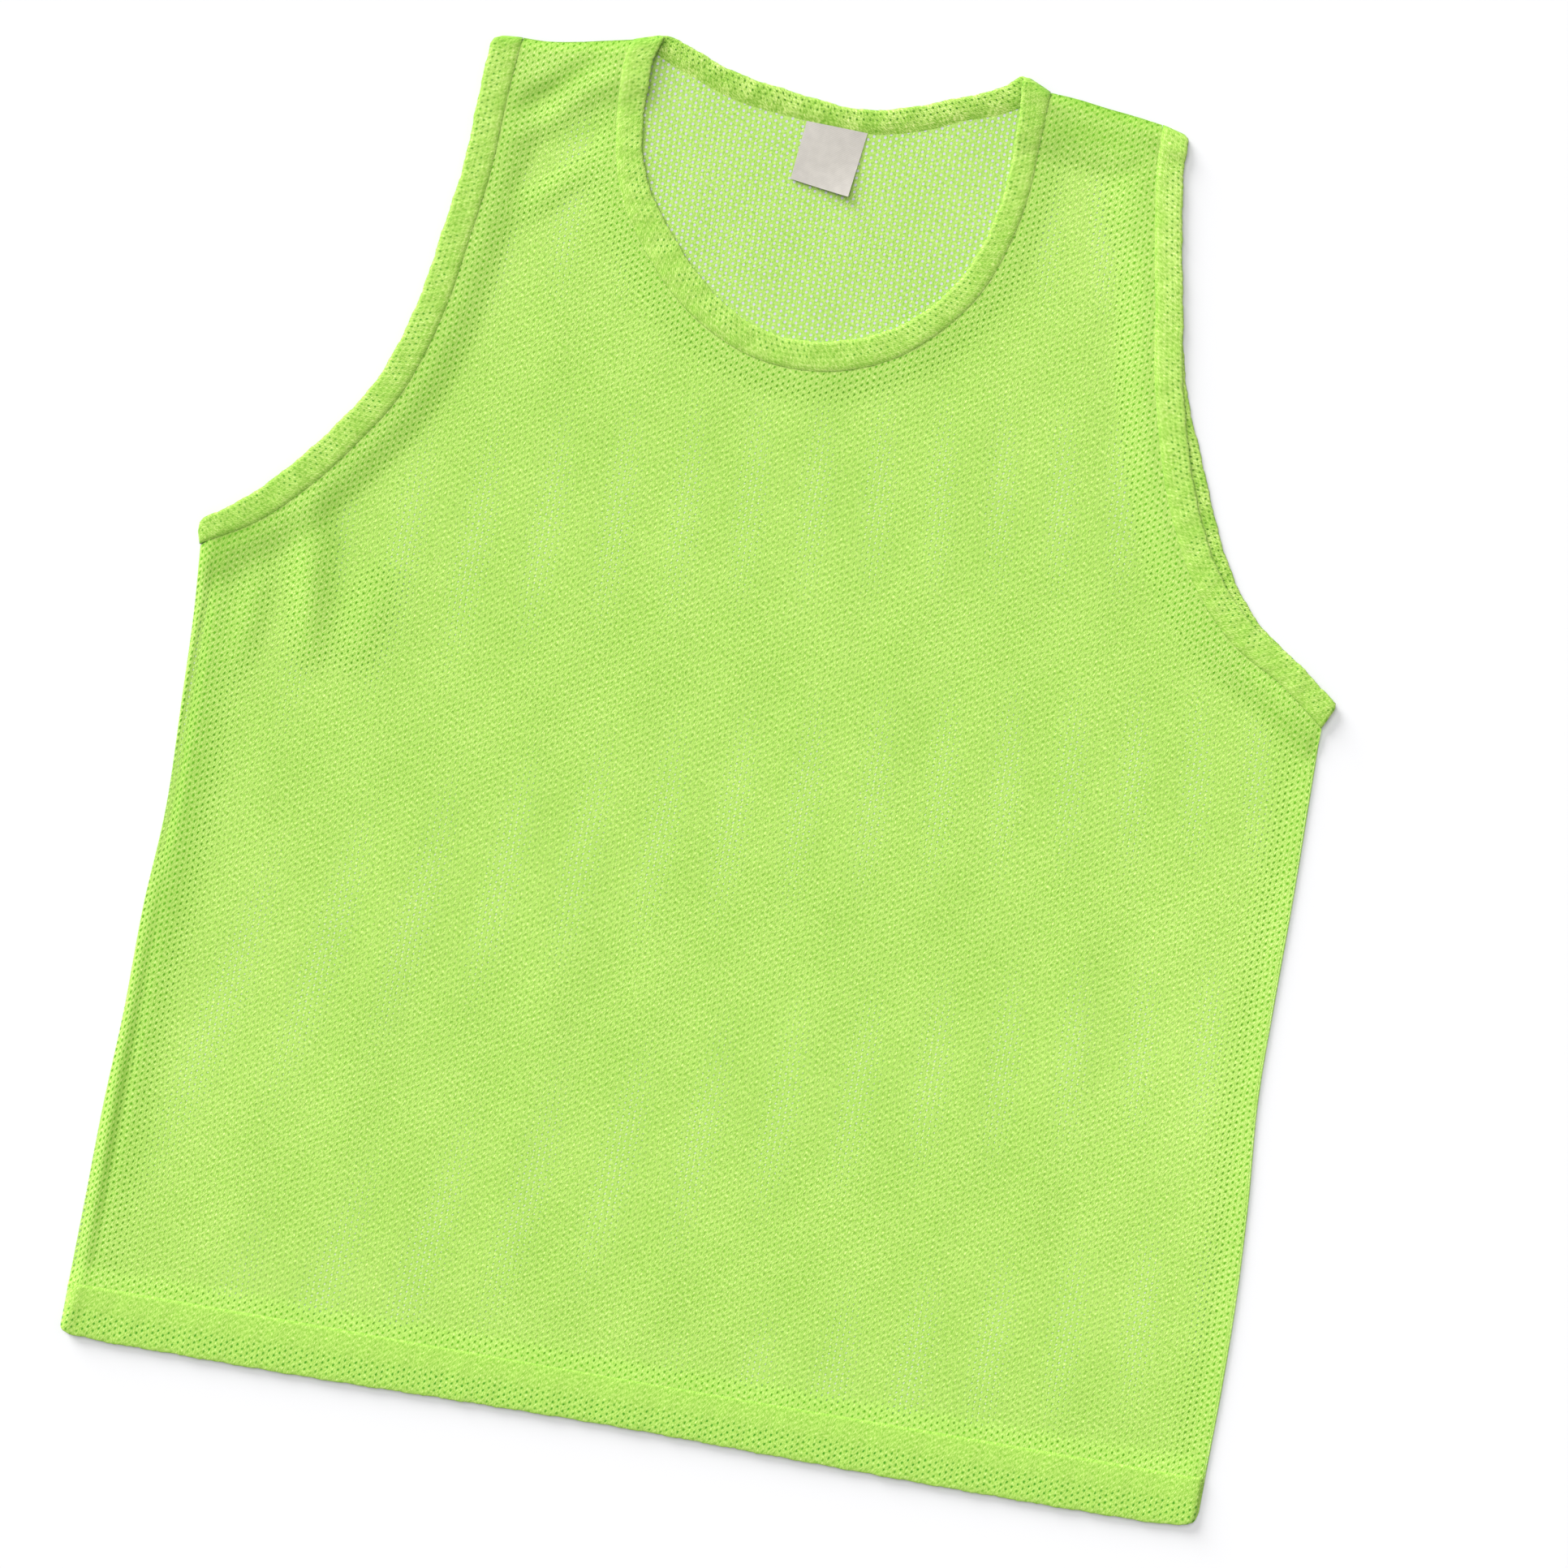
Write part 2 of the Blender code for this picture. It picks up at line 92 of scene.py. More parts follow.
# Bands, a row for each section across them: free edge x, y, sewn edge x, y
ARMHOLE_LEFT = [
    (-251.0, 357.0, -248.3, 347.5),
    (-233.0, 370.0, -226.3, 360.4),
    (-213.2, 390.0, -204.4, 381.2),
    (-197.7, 410.0, -188.0, 402.5),
    (-185.0, 430.0, -173.8, 424.8),
    (-177.4, 450.0, -165.6, 446.4),
    (-172.2, 470.0, -160.2, 467.4),
    (-167.5, 500.0, -155.3, 498.0),
    (-163.3, 530.0, -151.1, 529.0),
    (-162.1, 560.0, -149.6, 560.0),
    (-160.7, 587.0, -147.4, 588.2),
]
ARMHOLE_RIGHT = [
    (250.5, 362.5, 245.3, 351.5),
    (230.0, 378.0, 224.0, 367.6),
    (209.5, 390.0, 203.0, 379.6),
    (190.5, 410.0, 181.2, 402.0),
    (179.5, 430.0, 168.4, 424.6),
    (171.5, 450.0, 159.8, 445.6),
    (165.5, 470.0, 153.5, 467.0),
    (160.0, 492.0, 147.8, 490.0),
    (155.4, 520.0, 143.3, 518.4),
    (151.5, 540.0, 139.5, 538.6),
    (148.1, 560.0, 136.1, 559.2),
    (145.3, 580.0, 133.4, 579.6),
    (145.0, 595.0, 133.0, 598.2),
]
ARMHOLE_RIGHT_BACK = [
    (250.5, 362.5, 245.3, 351.5),
    (227.6, 380.0, 221.0, 369.4),
    (213.2, 390.0, 205.4, 380.4),
    (203.7, 400.0, 194.3, 392.2),
    (190.9, 420.0, 180.3, 414.2),
    (181.8, 440.0, 170.5, 435.6),
    (173.6, 460.0, 162.0, 456.0),
    (165.1, 480.0, 153.4, 476.8),
    (159.3, 500.0, 147.2, 498.0),
    *ARMHOLE_RIGHT[8:],     # from 520 mm up the two halves lie on one line
]
NECK_FRONT = [
    (-86.0, 600.0, -100.0, 595.6),
    (-89.3, 590.0, -102.0, 588.0),
    (-90.0, 575.0, -102.3, 574.0),
    (-89.5, 560.0, -101.0, 557.5),
    (-86.8, 545.0, -98.0, 540.5),
    (-80.0, 530.0, -91.0, 522.5),
    (-69.5, 516.0, -79.5, 506.0),
    (-56.5, 501.5, -65.5, 490.5),
    (-40.0, 488.5, -46.5, 476.8),
    (-22.0, 480.8, -25.0, 468.3),
    (-5.0, 479.2, -5.0, 466.4),
    (12.0, 482.3, 14.8, 469.3),
    (30.0, 489.6, 36.0, 478.6),
    (46.0, 502.0, 54.0, 494.0),
    (58.0, 518.0, 67.4, 512.2),
    (66.0, 538.0, 76.2, 535.0),
    (70.0, 558.0, 80.6, 557.0),
    (70.8, 580.0, 81.8, 580.0),
    (69.5, 609.5, 82.5, 603.8),
]
NECK_BACK = [
    (-86.0, 600.0, -97.5, 596.4),
    (-79.0, 598.2, -86.5, 589.6),
    (-70.0, 594.8, -75.0, 584.8),
    (-60.0, 591.0, -63.0, 580.2),
    (-48.0, 588.0, -49.5, 576.6),
    (-30.0, 585.4, -30.8, 574.4),
    (-12.0, 583.2, -12.0, 572.6),
    (0.0, 582.4, 0.4, 571.9),
    (12.0, 584.0, 13.6, 573.2),
    (30.0, 589.4, 33.4, 578.8),
    (44.0, 595.0, 48.6, 585.0),
    (56.0, 599.6, 61.6, 589.8),
    (64.0, 604.6, 71.6, 595.4),
    (69.5, 609.5, 81.5, 603.6),
]
# Rows of these tables where the panels' straps begin
NECK_FRONT_ROWS = (5, 15)
NECK_BACK_ROWS = (1, 12)
ARMHOLE_LEFT_ROW = 8
ARMHOLE_RIGHT_ROW = 9
ARMHOLE_RIGHT_BACK_ROW = 10

# Shoulder seams from the armhole to the neck: x, y
SHOULDER_LEFT = [(-147.1, 588.2), (-138.0, 588.3), (-124.0, 590.4), (-112.0, 593.0), (-100.3, 595.5)]
SHOULDER_RIGHT = [(132.7, 598.2), (121.0, 599.8), (108.0, 601.2), (95.0, 602.9), (82.8, 603.7)]

# Lower edge of the hem: x, y
HEM_EDGE = [
    (-250.0, 6.0), (-249.2, 2.0), (-246.0, 0.2), (-240.0, -0.4), (-200.0, -1.0), (-150.0, -1.1),
    (-60.0, 0.2), (0.0, 0.6), (60.0, -0.2), (150.0, -1.1), (215.0, -0.9), (236.0, -0.5),
    (244.0, 0.3), (249.6, 2.4), (251.2, 7.0),
]

# Neck label: corners x, y, from the free left one round
LABEL = [(-22.5, 547.5), (3.5, 543.8), (7.2, 572.8), (-19.8, 573.6)]

# Soft folds of the front: from x, y, to x, y, half width, height
FOLDS = [
    (-205.5, 388.0, -192.0, 300.0, 7.0, 1.9),
    (-219.0, 350.0, -224.0, 290.0, 6.0, 0.8),
    (-166.0, 356.0, -176.0, 300.0, 9.0, 0.7),
    (-147.0, 540.0, -103.0, 579.0, 5.0, 0.9),
    (-142.0, 508.0, -102.0, 546.0, 6.0, 0.7),
    (92.0, 581.0, 127.0, 578.0, 5.0, 0.3),
    (117.0, 586.0, 126.0, 540.0, 7.0, 0.9),
    (117.0, 601.0, 136.0, 586.0, 3.0, 1.0),
    (212.0, 373.0, 236.0, 343.0, 4.5, 0.9),
    (222.0, 371.0, 243.0, 338.0, 4.0, 0.8),
    (56.0, 598.0, 88.0, 608.0, 8.0, 1.8),
]
# Low folds that both layers share
SHARED_FOLDS = [
    (-60.0, 300.0, -66.0, 60.0, 16.0, 0.22),
    (62.0, 440.0, 44.0, 210.0, 14.0, 0.24),
    (150.0, 330.0, 158.0, 90.0, 16.0, 0.26),
    (-140.0, 250.0, -150.0, 50.0, 14.0, 0.22),
    (-80.0, 560.0, -20.0, 470.0, 14.0, 0.08),
    (-10.0, 510.0, 6.0, 466.0, 14.0, 0.10),
]

# More heights of the layers
LEVEL_REACH = 2.5       # the front stays raised this far past a doubled edge below it
FADE_REACH = 16.0       # and then sinks to the back over this distance
HEM_REACH = 6.5         # the front sinks to the back over this distance above the hem
OVER_DOUBLED = 1.9      # raise of the front over the back's bands and hem
NECK_RAISE = 0.75       # raise beside the neck band, and its reach
NECK_REACH = 9.0
LEFT_ROLL = 1.0         # raise beside the left side, its reach, and how far from the edge it is full
LEFT_REACH = 15.0
LEFT_RISE = 7.0
RIGHT_ROLL = 0.5        # and the same beside the right side
RIGHT_REACH = 13.0
RIGHT_RISE = 5.0
SHARED_REACH = 30.0     # the folds of both layers begin over this distance from the sides
LEFT_CORNER = 4.2       # rounding of the left armhole bands' free corners
RIGHT_CORNER = 1.8      # and of the right ones
NECK_CORNER = 3.0       # and of the neck bands
BAND_LIFT = 0.15        # a band's middle lies this far above the cloth beside it
EDGE_LEVEL = 0.48       # the front's edge where it meets the back at the left side and shoulders
SEAM_LEVEL = 1.4        # the front's edge beside the rim of the right side
SEAM_REACH = 8.0        # it sinks to the back over this distance
EDGE_ROLL = 3.0         # reach of the rounding at the left side
SHOULDER_ROLL = 4.0     # and at the shoulders
SHOULDER_RISE = 0.55    # rise of the back to the shoulder seams, and its reach
SHOULDER_REACH = 9.0
TUCK = 2.0              # the back's left armhole lies this far inside the front's
TUCK_UNDER = 2.0        # the cloth goes on this far under a band or hem
LABEL_WALL = 0.16
LABEL_LEVEL = 0.75      # the label's sewn end
LABEL_CURL = 2.0        # rise of its free right corner
LABEL_LIFT = 0.5        # rise of its whole free end
LABEL_WAVE = 0.25       # height of its slack wave

# Section of the rim that the back turns up at the right side: place out from the side's line, height
RIM_SECTION = [
    (-1.2, 0.22), (-0.7, 0.22), (-0.35, 0.28), (-0.15, 0.5), (-0.08, 0.85), (-0.15, 1.2), (-0.4, 1.42),
    (-0.7, 1.48), (-0.95, 1.40), (-1.12, 1.15),
]

# Sections of a band and a hem, from the free edge over the top and back below: share across, height
UNDERSIDE = [(0.4, -0.78), (0.15, -0.74), (0.05, -0.55), (0.012, -0.28)]
BAND_SECTION = [
    (0.0, 0.02), (0.012, 0.32), (0.04, 0.6), (0.09, 0.78), (0.17, 0.86), (0.30, 0.86), (0.45, 0.82),
    (0.58, 0.80), (0.70, 0.77), (0.765, 0.72), (0.80, 0.64), (0.835, 0.62), (0.90, 0.46), (0.95, 0.24),
    (0.985, 0.03), (1.0, -0.12), (0.985, -0.3), (0.9, -0.6), (0.7, -0.74), *UNDERSIDE,
]
# The back neck band, whose sewn edge lies level with the panel
FLUSH_SECTION = [
    (0.0, 0.02), (0.012, 0.32), (0.04, 0.58), (0.09, 0.74), (0.17, 0.80), (0.30, 0.78), (0.45, 0.70),
    (0.58, 0.58), (0.70, 0.38), (0.80, 0.12), (0.88, -0.14), (0.95, -0.36), (0.985, -0.50), (1.0, -0.58),
    (0.985, -0.66), (0.9, -0.70), (0.7, -0.76), *UNDERSIDE,
]
HEM_SECTION = [
    (0.0, 0.12), (0.008, 0.28), (0.03, 0.44), (0.07, 0.56), (0.15, 0.58), (0.30, 0.52), (0.45, 0.44),
    (0.58, 0.39), (0.635, 0.37), (0.67, 0.34), (0.71, 0.28), (0.78, 0.19), (0.86, 0.08), (0.93, -0.08),
    (1.0, -0.30), (1.0, -0.4), (0.9, -0.5), (0.7, -0.66), (0.4, -0.7), (0.15, -0.66), (0.08, -0.5),
    (0.04, -0.2),
]
HEM_ENDS = 0.25         # share of the hem's thickness that is left at the side seams
END_REACH = 3.0         # it thins out over this distance

# Unevenness: height, wavelength, direction in degrees, start
CLOTH_WAVES = [
    (0.06, 61.0, 8.0, 0.4), (0.05, 37.0, -5.0, 2.0), (0.03, 23.0, 14.0, 1.1), (0.05, 143.0, 80.0, 0.3),
]
EDGE_WAVES = [
    (0.16, 19.0, 0.0, 0.3), (0.10, 7.7, 0.0, 1.7), (0.07, 4.1, 0.0, 0.9), (0.08, 2.95, 0.0, 0.0),
]
BAND_WAVES = [
    (0.07, 9.3, 20.0, 0.0), (0.06, 5.7, -35.0, 1.3), (0.05, 15.5, 60.0, 2.2), (0.03, 3.1, 8.0, 0.6),
]
HEM_WAVES = [(0.06, 13.0, 12.0, 0.0), (0.05, 7.9, -20.0, 1.3), (0.05, 31.0, 3.0, 2.2)]

# Small creases of the front, in the same columns as the folds
CREASES = [
    (-244.0, 346.0, -244.6, 208.0, 1.9, 0.7),
    (-240.4, 356.0, -241.0, 203.0, 1.8, -1.2),
    (-244.6, 222.0, -245.6, 4.0, 3.0, 0.8),
    (-238.6, 222.0, -240.6, 8.0, 2.2, -0.6),
    (-150.0, 552.0, -108.0, 588.0, 4.0, -0.8),
    (-143.0, 521.0, -101.0, 562.0, 4.0, -0.7),
]
# Painted light and shade of the cloth: darker creases, folds, underarms, hem line and rolled shoulder tops,
# lighter ridges and broad lighter zones, in the same columns, with the change as a share
PAINTED_SHADING = [
    (50.0, 607.8, 164.0, 595.2, 3.4, -0.26),
    (72.0, 591.0, 130.0, 586.0, 5.0, -0.11),
    (-178.0, 583.2, -70.0, 600.6, 3.4, -0.26),
    (160.0, 460.0, 137.0, 622.0, 7.0, 0.08),
    (-134.0, 440.0, -122.0, 640.0, 26.0, 0.03),
    (106.0, 440.0, 109.0, 640.0, 26.0, 0.03),
    (-150.0, 552.0, -106.0, 590.0, 4.5, -0.08),
    (-134.0, 543.0, -98.0, 563.0, 4.0, -0.07),
    (212.0, 60.0, 214.0, 330.0, 40.0, 0.04),
    (-200.0, 40.0, -198.0, 240.0, 28.0, 0.025),
    (-360.0, 24.5, 360.0, 24.5, 5.0, -0.065),
    (-148.0, 568.0, -124.0, 588.0, 3.5, 0.04),
    (-258.0, 337.0, -210.0, 372.0, 5.5, -0.10),
    (-262.0, 352.0, -200.0, 398.0, 6.0, -0.07),
    (-196.0, 384.0, -182.0, 318.0, 4.0, -0.06),
    (214.0, 362.0, 242.0, 342.0, 3.0, -0.05),
    (-243.5, 372.0, -242.8, 204.0, 2.0, 0.04),
    (-245.5, 240.0, -247.0, -10.0, 2.4, 0.04),
    (-238.6, 372.0, -239.6, 196.0, 1.8, -0.07),
    (-239.6, 236.0, -242.6, -10.0, 2.0, -0.06),
    (-232.0, 360.0, -233.0, 60.0, 6.0, -0.04),
]
CLOTH_TONE = 1.012      # lightness of the cloth, and of the bands and hems
BAND_TONE = 0.95
SLOPE_PAINTED_SHADE = 0.07       # painted shade: how much darker the cloth is on a slope away from the light
FULL_SLOPE = 0.40       # rise towards the light, for each millimetre, where it is that dark
LIGHT_SIDE = 136.0      # side the low light comes from, in degrees

# Mesh: from one hole to its neighbours on the upper right and upper left
FRONT_HOLES = ((2.377, 1.422), (-2.398, 1.613))
BACK_HOLES = ((2.362, 1.6634), (-2.4344, 1.3635))
BACK_START = (0.1185, 0.8901)   # shift of the back's holes, in holes
BAND_HOLES = ((2.95, 0.0), (1.475, 2.4))    # and, on the bands, on the right and upper right
BAND_START = (0.2, 0.1)         # shift of the bands' holes
# Bow of the knit, in millimetres at BOW_REACH from its middle: by x squared, x times y, y squared
BOW_REACH = 100.0
BOW_MIDDLE = (-0.4, -24.2)
FRONT_BOW = ((-0.55, 0.0, 0.0), (0.0, 0.0, 0.0))
BACK_BOW = ((-0.487, 0.183, 0.023), (-0.255, -0.556, -0.213))
# Width and length of the holes in each piece
HOLE = (0.77, 1.26)
BACK_HOLE = (1.22, 1.30)
BAND_HOLE = (0.78, 1.05)
HEM_HOLE = (0.84, 1.24)
HOLE_SLANT = 62.0               # a hole's long way, in degrees
STROKE = (1.35, 0.32)           # the yarn's slanted strokes, coarser than real ones so that they show
STROKE_SLANT = 66.0
BAND_SLANT = 36.0               # and on the neck and armhole bands
GRAIN = 0.36                    # size of the yarn's fine grain
YARN_RELIEF = 0.30              # how much lighter the lit strokes are than the shaded ones
STRAND = (0.62, 1.75)           # the lighter strand of yarn between four holes
STRAND_SHARE = 0.10             # and how much lighter it is
RIM_SHADE = 0.925               # painted shade of the yarn beside a hole, as its lightness
MOTTLE = 9.0                    # size of the lighter and darker patches of a band
DOT_PATCHES = 0.11              # patches of stronger and weaker dots, for each millimetre
# Slow drift of the knit across and upward, and its lighter patches, in the columns of the unevenness
DRIFT = (
    [(0.22, 118.0, 12.0, 0.4), (0.12, 71.0, 63.0, 1.9), (0.07, 43.0, -28.0, 0.2)],
    [(0.22, 127.0, 78.0, 2.3), (0.12, 83.0, -21.0, 0.8), (0.07, 47.0, 36.0, 1.4)],
)
PATCHES = [
    (0.008, 53.0, 24.0, 0.6), (0.006, 31.0, -33.0, 2.6), (0.005, 19.0, 71.0, 1.2), (0.006, 88.0, 84.0, 0.1),
]
GATHER = 3.6                    # the columns are drawn together by this much at the rolled left side
GATHER_REACH = 9.0
HOLE_SPREAD = (1.0, 1.05)       # the front's holes where it lies on the back, and where it is drawn open
OPEN_SIDE = 6.0                 # they are fully open up to this far from the sides, and beside bands
OPEN_FADE = 16.0                # and return to their size over this distance
OPEN_BOTTOM = 18.0              # below this height they aren't drawn open
OPEN_RISE = 26.0                # and are fully open this far above it
ROLLED_SPREAD = 0.18            # how much wider they are on the rolled left side
ROLLED_REACH = 14.0             # which reaches this far in from the edge
ROLLED_FADE = 6.0
CLOSED_SHARE = 0.7              # how much smaller the back's holes are on the rim and at the shoulders
CLOSED_RIM = 0.8                # from this far inside the front's right edge
CLOSED_SEAM = 10.0              # and this near the shoulder seams
CLOSED_FADE = 3.0
LEAST_PAINTED_FILL = 0.08               # share of a front hole filled with painted shade of the back's yarn, where the front lies on the back
RAISED_PAINTED_FILL = 0.92                     # and where the front is drawn up off the back
PAINTED_FILL_LIFT = 0.6                 # by this height
BACK_PAINTED_FILL = 0.55                     # share of the back's holes filled with painted colour of the board below
THROUGH_YARN = 0.50             # share of the light that the yarn lets through
RIB_SPACING = 0.55              # the label's ribs, twice as far apart as real ones so that they show
WAVE_UNITS = 3.2                # waves of a Wave Texture in one unit of its vector, at scale 1
NECK_FADE = 4.0                 # the covered back begins over this distance below the scoop's edge
OUTSIDE_NECK = 700.0            # height of that edge beside the scoop, which is above the whole bib
HEM_FOLD = 12.6                 # below this height the hem's dots are clear
FOLD_FADE = 2.6
FAINT_DOTS = 0.16               # strength of the hem's dots above it
FREE_EDGE = 0.8                 # and below this height there are no dots
SEWN_PART = 3.6                 # a band's dots are faint this near its sewn edge
FAINT_SEAM = 0.08               # with this strength
DOT_FADE = 1.6

# Colours of the yarn, each with its painted colour down in a hole: painted shade of the back's yarn for the
# front, painted shade of the board for the back, and painted shade of the inner layer for the dots of bands
# and hems
CLOTH_TINTS = ("d2ee82", "64a62c")
BACK_TINTS = ("d0ec86", "d4d3de")
BAND_TINTS = ("aacb62", "47871a")
BACK_BAND_TINTS = ("abcb61", "3a720f")
HEM_TINTS = ("a7ca5f", "408a12")
# Other colours
PAINTED_FLOOR_LIGHT = "eef8da"         # painted light of the board in the back's holes where the front covers them
THROUGH_TINT = "d2f985"         # yarn with the light behind it
LABEL_TINT = "aca79f"
BOARD_TINT = "d7d7d8"

# Light, and the camera straight above
SKY_LIGHT = 0.41
# Lamps: name, strength, and in degrees their softness, their height and the side they shine from
LAMPS = [
    ("low key", 4.7, 32.0, 19.0, LIGHT_SIDE),
    ("top light", 1.94, 44.0, 70.0, 130.0),
]
SENSOR = 36.0                   # width of the camera's sensor in millimetres
BOARD_WIDTH = 4.0               # this and the next ones in metres
CAMERA_PLACE = (0.0192, -0.0162)
CAMERA_HEIGHT = 1.6
VIEW_WIDTH = 0.6817             # width of the board that the camera sees
CAMERA_TURN = 9.8217            # the bib lies turned by this many degrees in the photo


def smooth(rows):
    """A fine smooth line through the rows of a table, SUBSTEPS points from one row to the next."""
    rows = np.array(rows, float)
    chord = np.linalg.norm(np.diff(rows, axis=0), axis=1)
    place = np.concatenate([[0.0], np.cumsum(chord)])
    slope = np.gradient(rows, place, axis=0)
    line = []
    for i, length in enumerate(chord):
        for t in np.arange(SUBSTEPS) / SUBSTEPS:
            line.append(
                (2 * t**3 - 3 * t**2 + 1) * rows[i]
                + (t**3 - 2 * t**2 + t) * length * slope[i]
                + (3 * t**2 - 2 * t**3) * rows[i + 1]
                + (t**3 - t**2) * length * slope[i + 1]
            )
    line.append(rows[-1])
    return np.array(line)


def resampled(line, shares):
    """The points of a line at the given shares of its length."""
    place = np.concatenate([[0.0], np.cumsum(np.linalg.norm(np.diff(line, axis=0), axis=1))])
    wanted = np.asarray(shares) * place[-1]
    return np.stack([np.interp(wanted, place, line[:, i]) for i in range(line.shape[1])], axis=1)


def even(line, steps):
    """The same line in equal steps."""
    return resampled(line, np.linspace(0.0, 1.0, steps + 1))


def stretch(line, first_row, last_row, steps):
    """The part of a smooth line between two rows of its table, in equal steps."""
    return even(line[first_row * SUBSTEPS:last_row * SUBSTEPS + 1], steps)


def last_row(line):
    """The number of the last row of a smooth line's table."""
    return (len(line) - 1) // SUBSTEPS


def edge_between(band, share):
    """The line at a share of the way across a band, from its free edge to its sewn edge."""
    rows = np.array(band)
    return smooth(rows[:, :2] + share * (rows[:, 2:] - rows[:, :2]))


def distance(line, points):
    """The distance of each point from a line."""
    start = line[:-1]
    along = line[1:] - start
    flat = points.reshape(-1, 1, 2)
    t = np.sum((flat - start) * along, axis=2) / np.sum(along * along, axis=1)
    nearest = start + np.clip(t, 0.0, 1.0)[..., None] * along
    return np.min(np.linalg.norm(flat - nearest, axis=2), axis=1).reshape(points.shape[:-1])


def ease(t):
    """A soft step from 0 to 1."""
    t = np.clip(t, 0.0, 1.0)
    return t * t * (3 - 2 * t)


def ripple(x, y, waves):
    """Unevenness made of a few long waves: height, wavelength, direction in degrees, start."""
    total = 0.0
    for height, wavelength, turn, start in waves:
        way = math.radians(turn)
        total = total + height * np.sin(
            2 * math.pi * (x * math.cos(way) + y * math.sin(way)) / wavelength + start
        )
    return total


def fold_height(x, y, folds):
    """What the soft folds add to a layer's height."""
    height = np.zeros_like(x)
    for x0, y0, x1, y1, half_width, rise in folds:
        length = math.hypot(x1 - x0, y1 - y0)
        ux, uy = (x1 - x0) / length, (y1 - y0) / length
        place = np.clip(((x - x0) * ux + (y - y0) * uy) / length, 0.0, 1.0)
        aside = (x - x0) * uy - (y - y0) * ux
        height += rise * np.sin(math.pi * place) * np.exp(-((aside / half_width) ** 2))
    return height


def rim_share(y):
    """How much of the rim at the right side is left at this height on the cloth."""
    return RIM_REST + (1.0 - RIM_REST) * ease((SIDE_RIGHT[-1][1] - y) / RIM_FADE)


def front_right_side():
    """The front's edge at the right side, inside the rim."""
    line = smooth(SIDE_RIGHT)
    line[:, 0] -= RIM * rim_share(line[:, 1])
    return line


# Lines that the heights and tones of the cloth are measured from
ARMHOLE_EDGES = [even(edge_between(ARMHOLE_LEFT, 0.0), 36), even(edge_between(ARMHOLE_RIGHT, 0.0), 36)]
SHOULDER_EDGES = [even(smooth(SHOULDER_LEFT), 6), even(smooth(SHOULDER_RIGHT), 6)]
DOUBLED_EDGES = ARMHOLE_EDGES + SHOULDER_EDGES + [even(edge_between(NECK_BACK, 0.0), 24)]
NECK_LINE = even(edge_between(NECK_FRONT, 1.0), 48)
LEFT_LINE = even(smooth(SIDE_LEFT), 24)
RIGHT_LINE = even(front_right_side(), 24)


def shared_height(points):
    """Low folds and waves that go through both layers."""
    x, y = points[..., 0], points[..., 1]
    from_side = np.minimum(distance(LEFT_LINE, points), distance(RIGHT_LINE, points))
    height = fold_height(x, y, SHARED_FOLDS) + ripple(x, y, CLOTH_WAVES)
    return np.maximum(height, 0.0) * ease(from_side / SHARED_REACH)


def past_bands(points):
    """How far each point lies past the doubled edges of the back."""
    return np.min([distance(edge, points) for edge in DOUBLED_EDGES], axis=0) - BAND_WIDTH


def front_level(points):
    """Height of the middle of the front cloth: on the back, and raised by bands, hem, sides and folds."""
    x, y = points[..., 0], points[..., 1]
    raised = ease((LEVEL_REACH + FADE_REACH - past_bands(points)) / FADE_REACH)
    raised = np.maximum(raised, ease((HEM_REACH + HEM_TOP - y) / HEM_REACH))
    height = FRONT_LEVEL + OVER_DOUBLED * raised
    height += NECK_RAISE * np.exp(-((distance(NECK_LINE, points) / NECK_REACH) ** 2))
    from_left, from_right = distance(LEFT_LINE, points), distance(RIGHT_LINE, points)
    height += LEFT_ROLL * ease(from_left / LEFT_RISE) * np.exp(-((from_left / LEFT_REACH) ** 2))
    height += RIGHT_ROLL * ease(from_right / RIGHT_RISE) * np.exp(-((from_right / RIGHT_REACH) ** 2))
    height += fold_height(x, y, FOLDS) + fold_height(x, y, CREASES) + shared_height(points)
    height = np.maximum(height, FRONT_LEVEL + shared_height(points))
    height += (np.maximum(height, SEAM_LEVEL) - height) * ease(1.0 - from_right / SEAM_REACH)
    ends = [from_left / EDGE_ROLL]
    ends += [distance(edge, points) / SHOULDER_ROLL for edge in SHOULDER_EDGES]
    nearest = np.clip(np.min(ends, axis=0), 0.0, 1.0)
    rounding = np.sqrt(1.0 - (1.0 - nearest) ** 2)
    return EDGE_LEVEL + (height - EDGE_LEVEL) * rounding


def back_level(points):
    """Height of the middle of the back cloth: flat on the surface, rising to the shoulder seams."""
    near = np.min([distance(edge, points) for edge in SHOULDER_EDGES], axis=0)
    height = BACK_LEVEL + SHOULDER_RISE * ease(1.0 - near / SHOULDER_REACH)
    return height + shared_height(points)


def patch(bottom, top, left, right, across, upward):
    """A grid of points between four edges that meet at their corners."""
    u = across[None, :, None]
    v = upward[:, None, None]
    level = (1 - v) * bottom[None] + v * top[None]
    rising = (1 - u) * left[:, None] + u * right[:, None]
    corners = (1 - v) * ((1 - u) * bottom[0] + u * bottom[-1]) + v * ((1 - u) * top[0] + u * top[-1])
    return level + rising - corners


def panel_edge(band, first_corner, last_corner):
    """The panel's edge along a band, under the band's sewn edge, with its ends on shared corners."""
    line = edge_between(band, 1.0 - TUCK_UNDER / BAND_WIDTH)
    reach = np.linspace(0.0, 1.0, len(line))[:, None]
    line += (np.asarray(first_corner) - line[0]) * (1 - reach) ** CORNER_PULL
    line += (np.asarray(last_corner) - line[-1]) * reach ** CORNER_PULL
    return line


def tucked(band):
    """A band's table moved inwards, most in the middle, so that the back's band hides under the front's."""
    rows = np.array(band)
    rows[:, [0, 2]] += TUCK * np.sin(math.pi * np.linspace(0.0, 1.0, len(rows)))[:, None]
    return rows


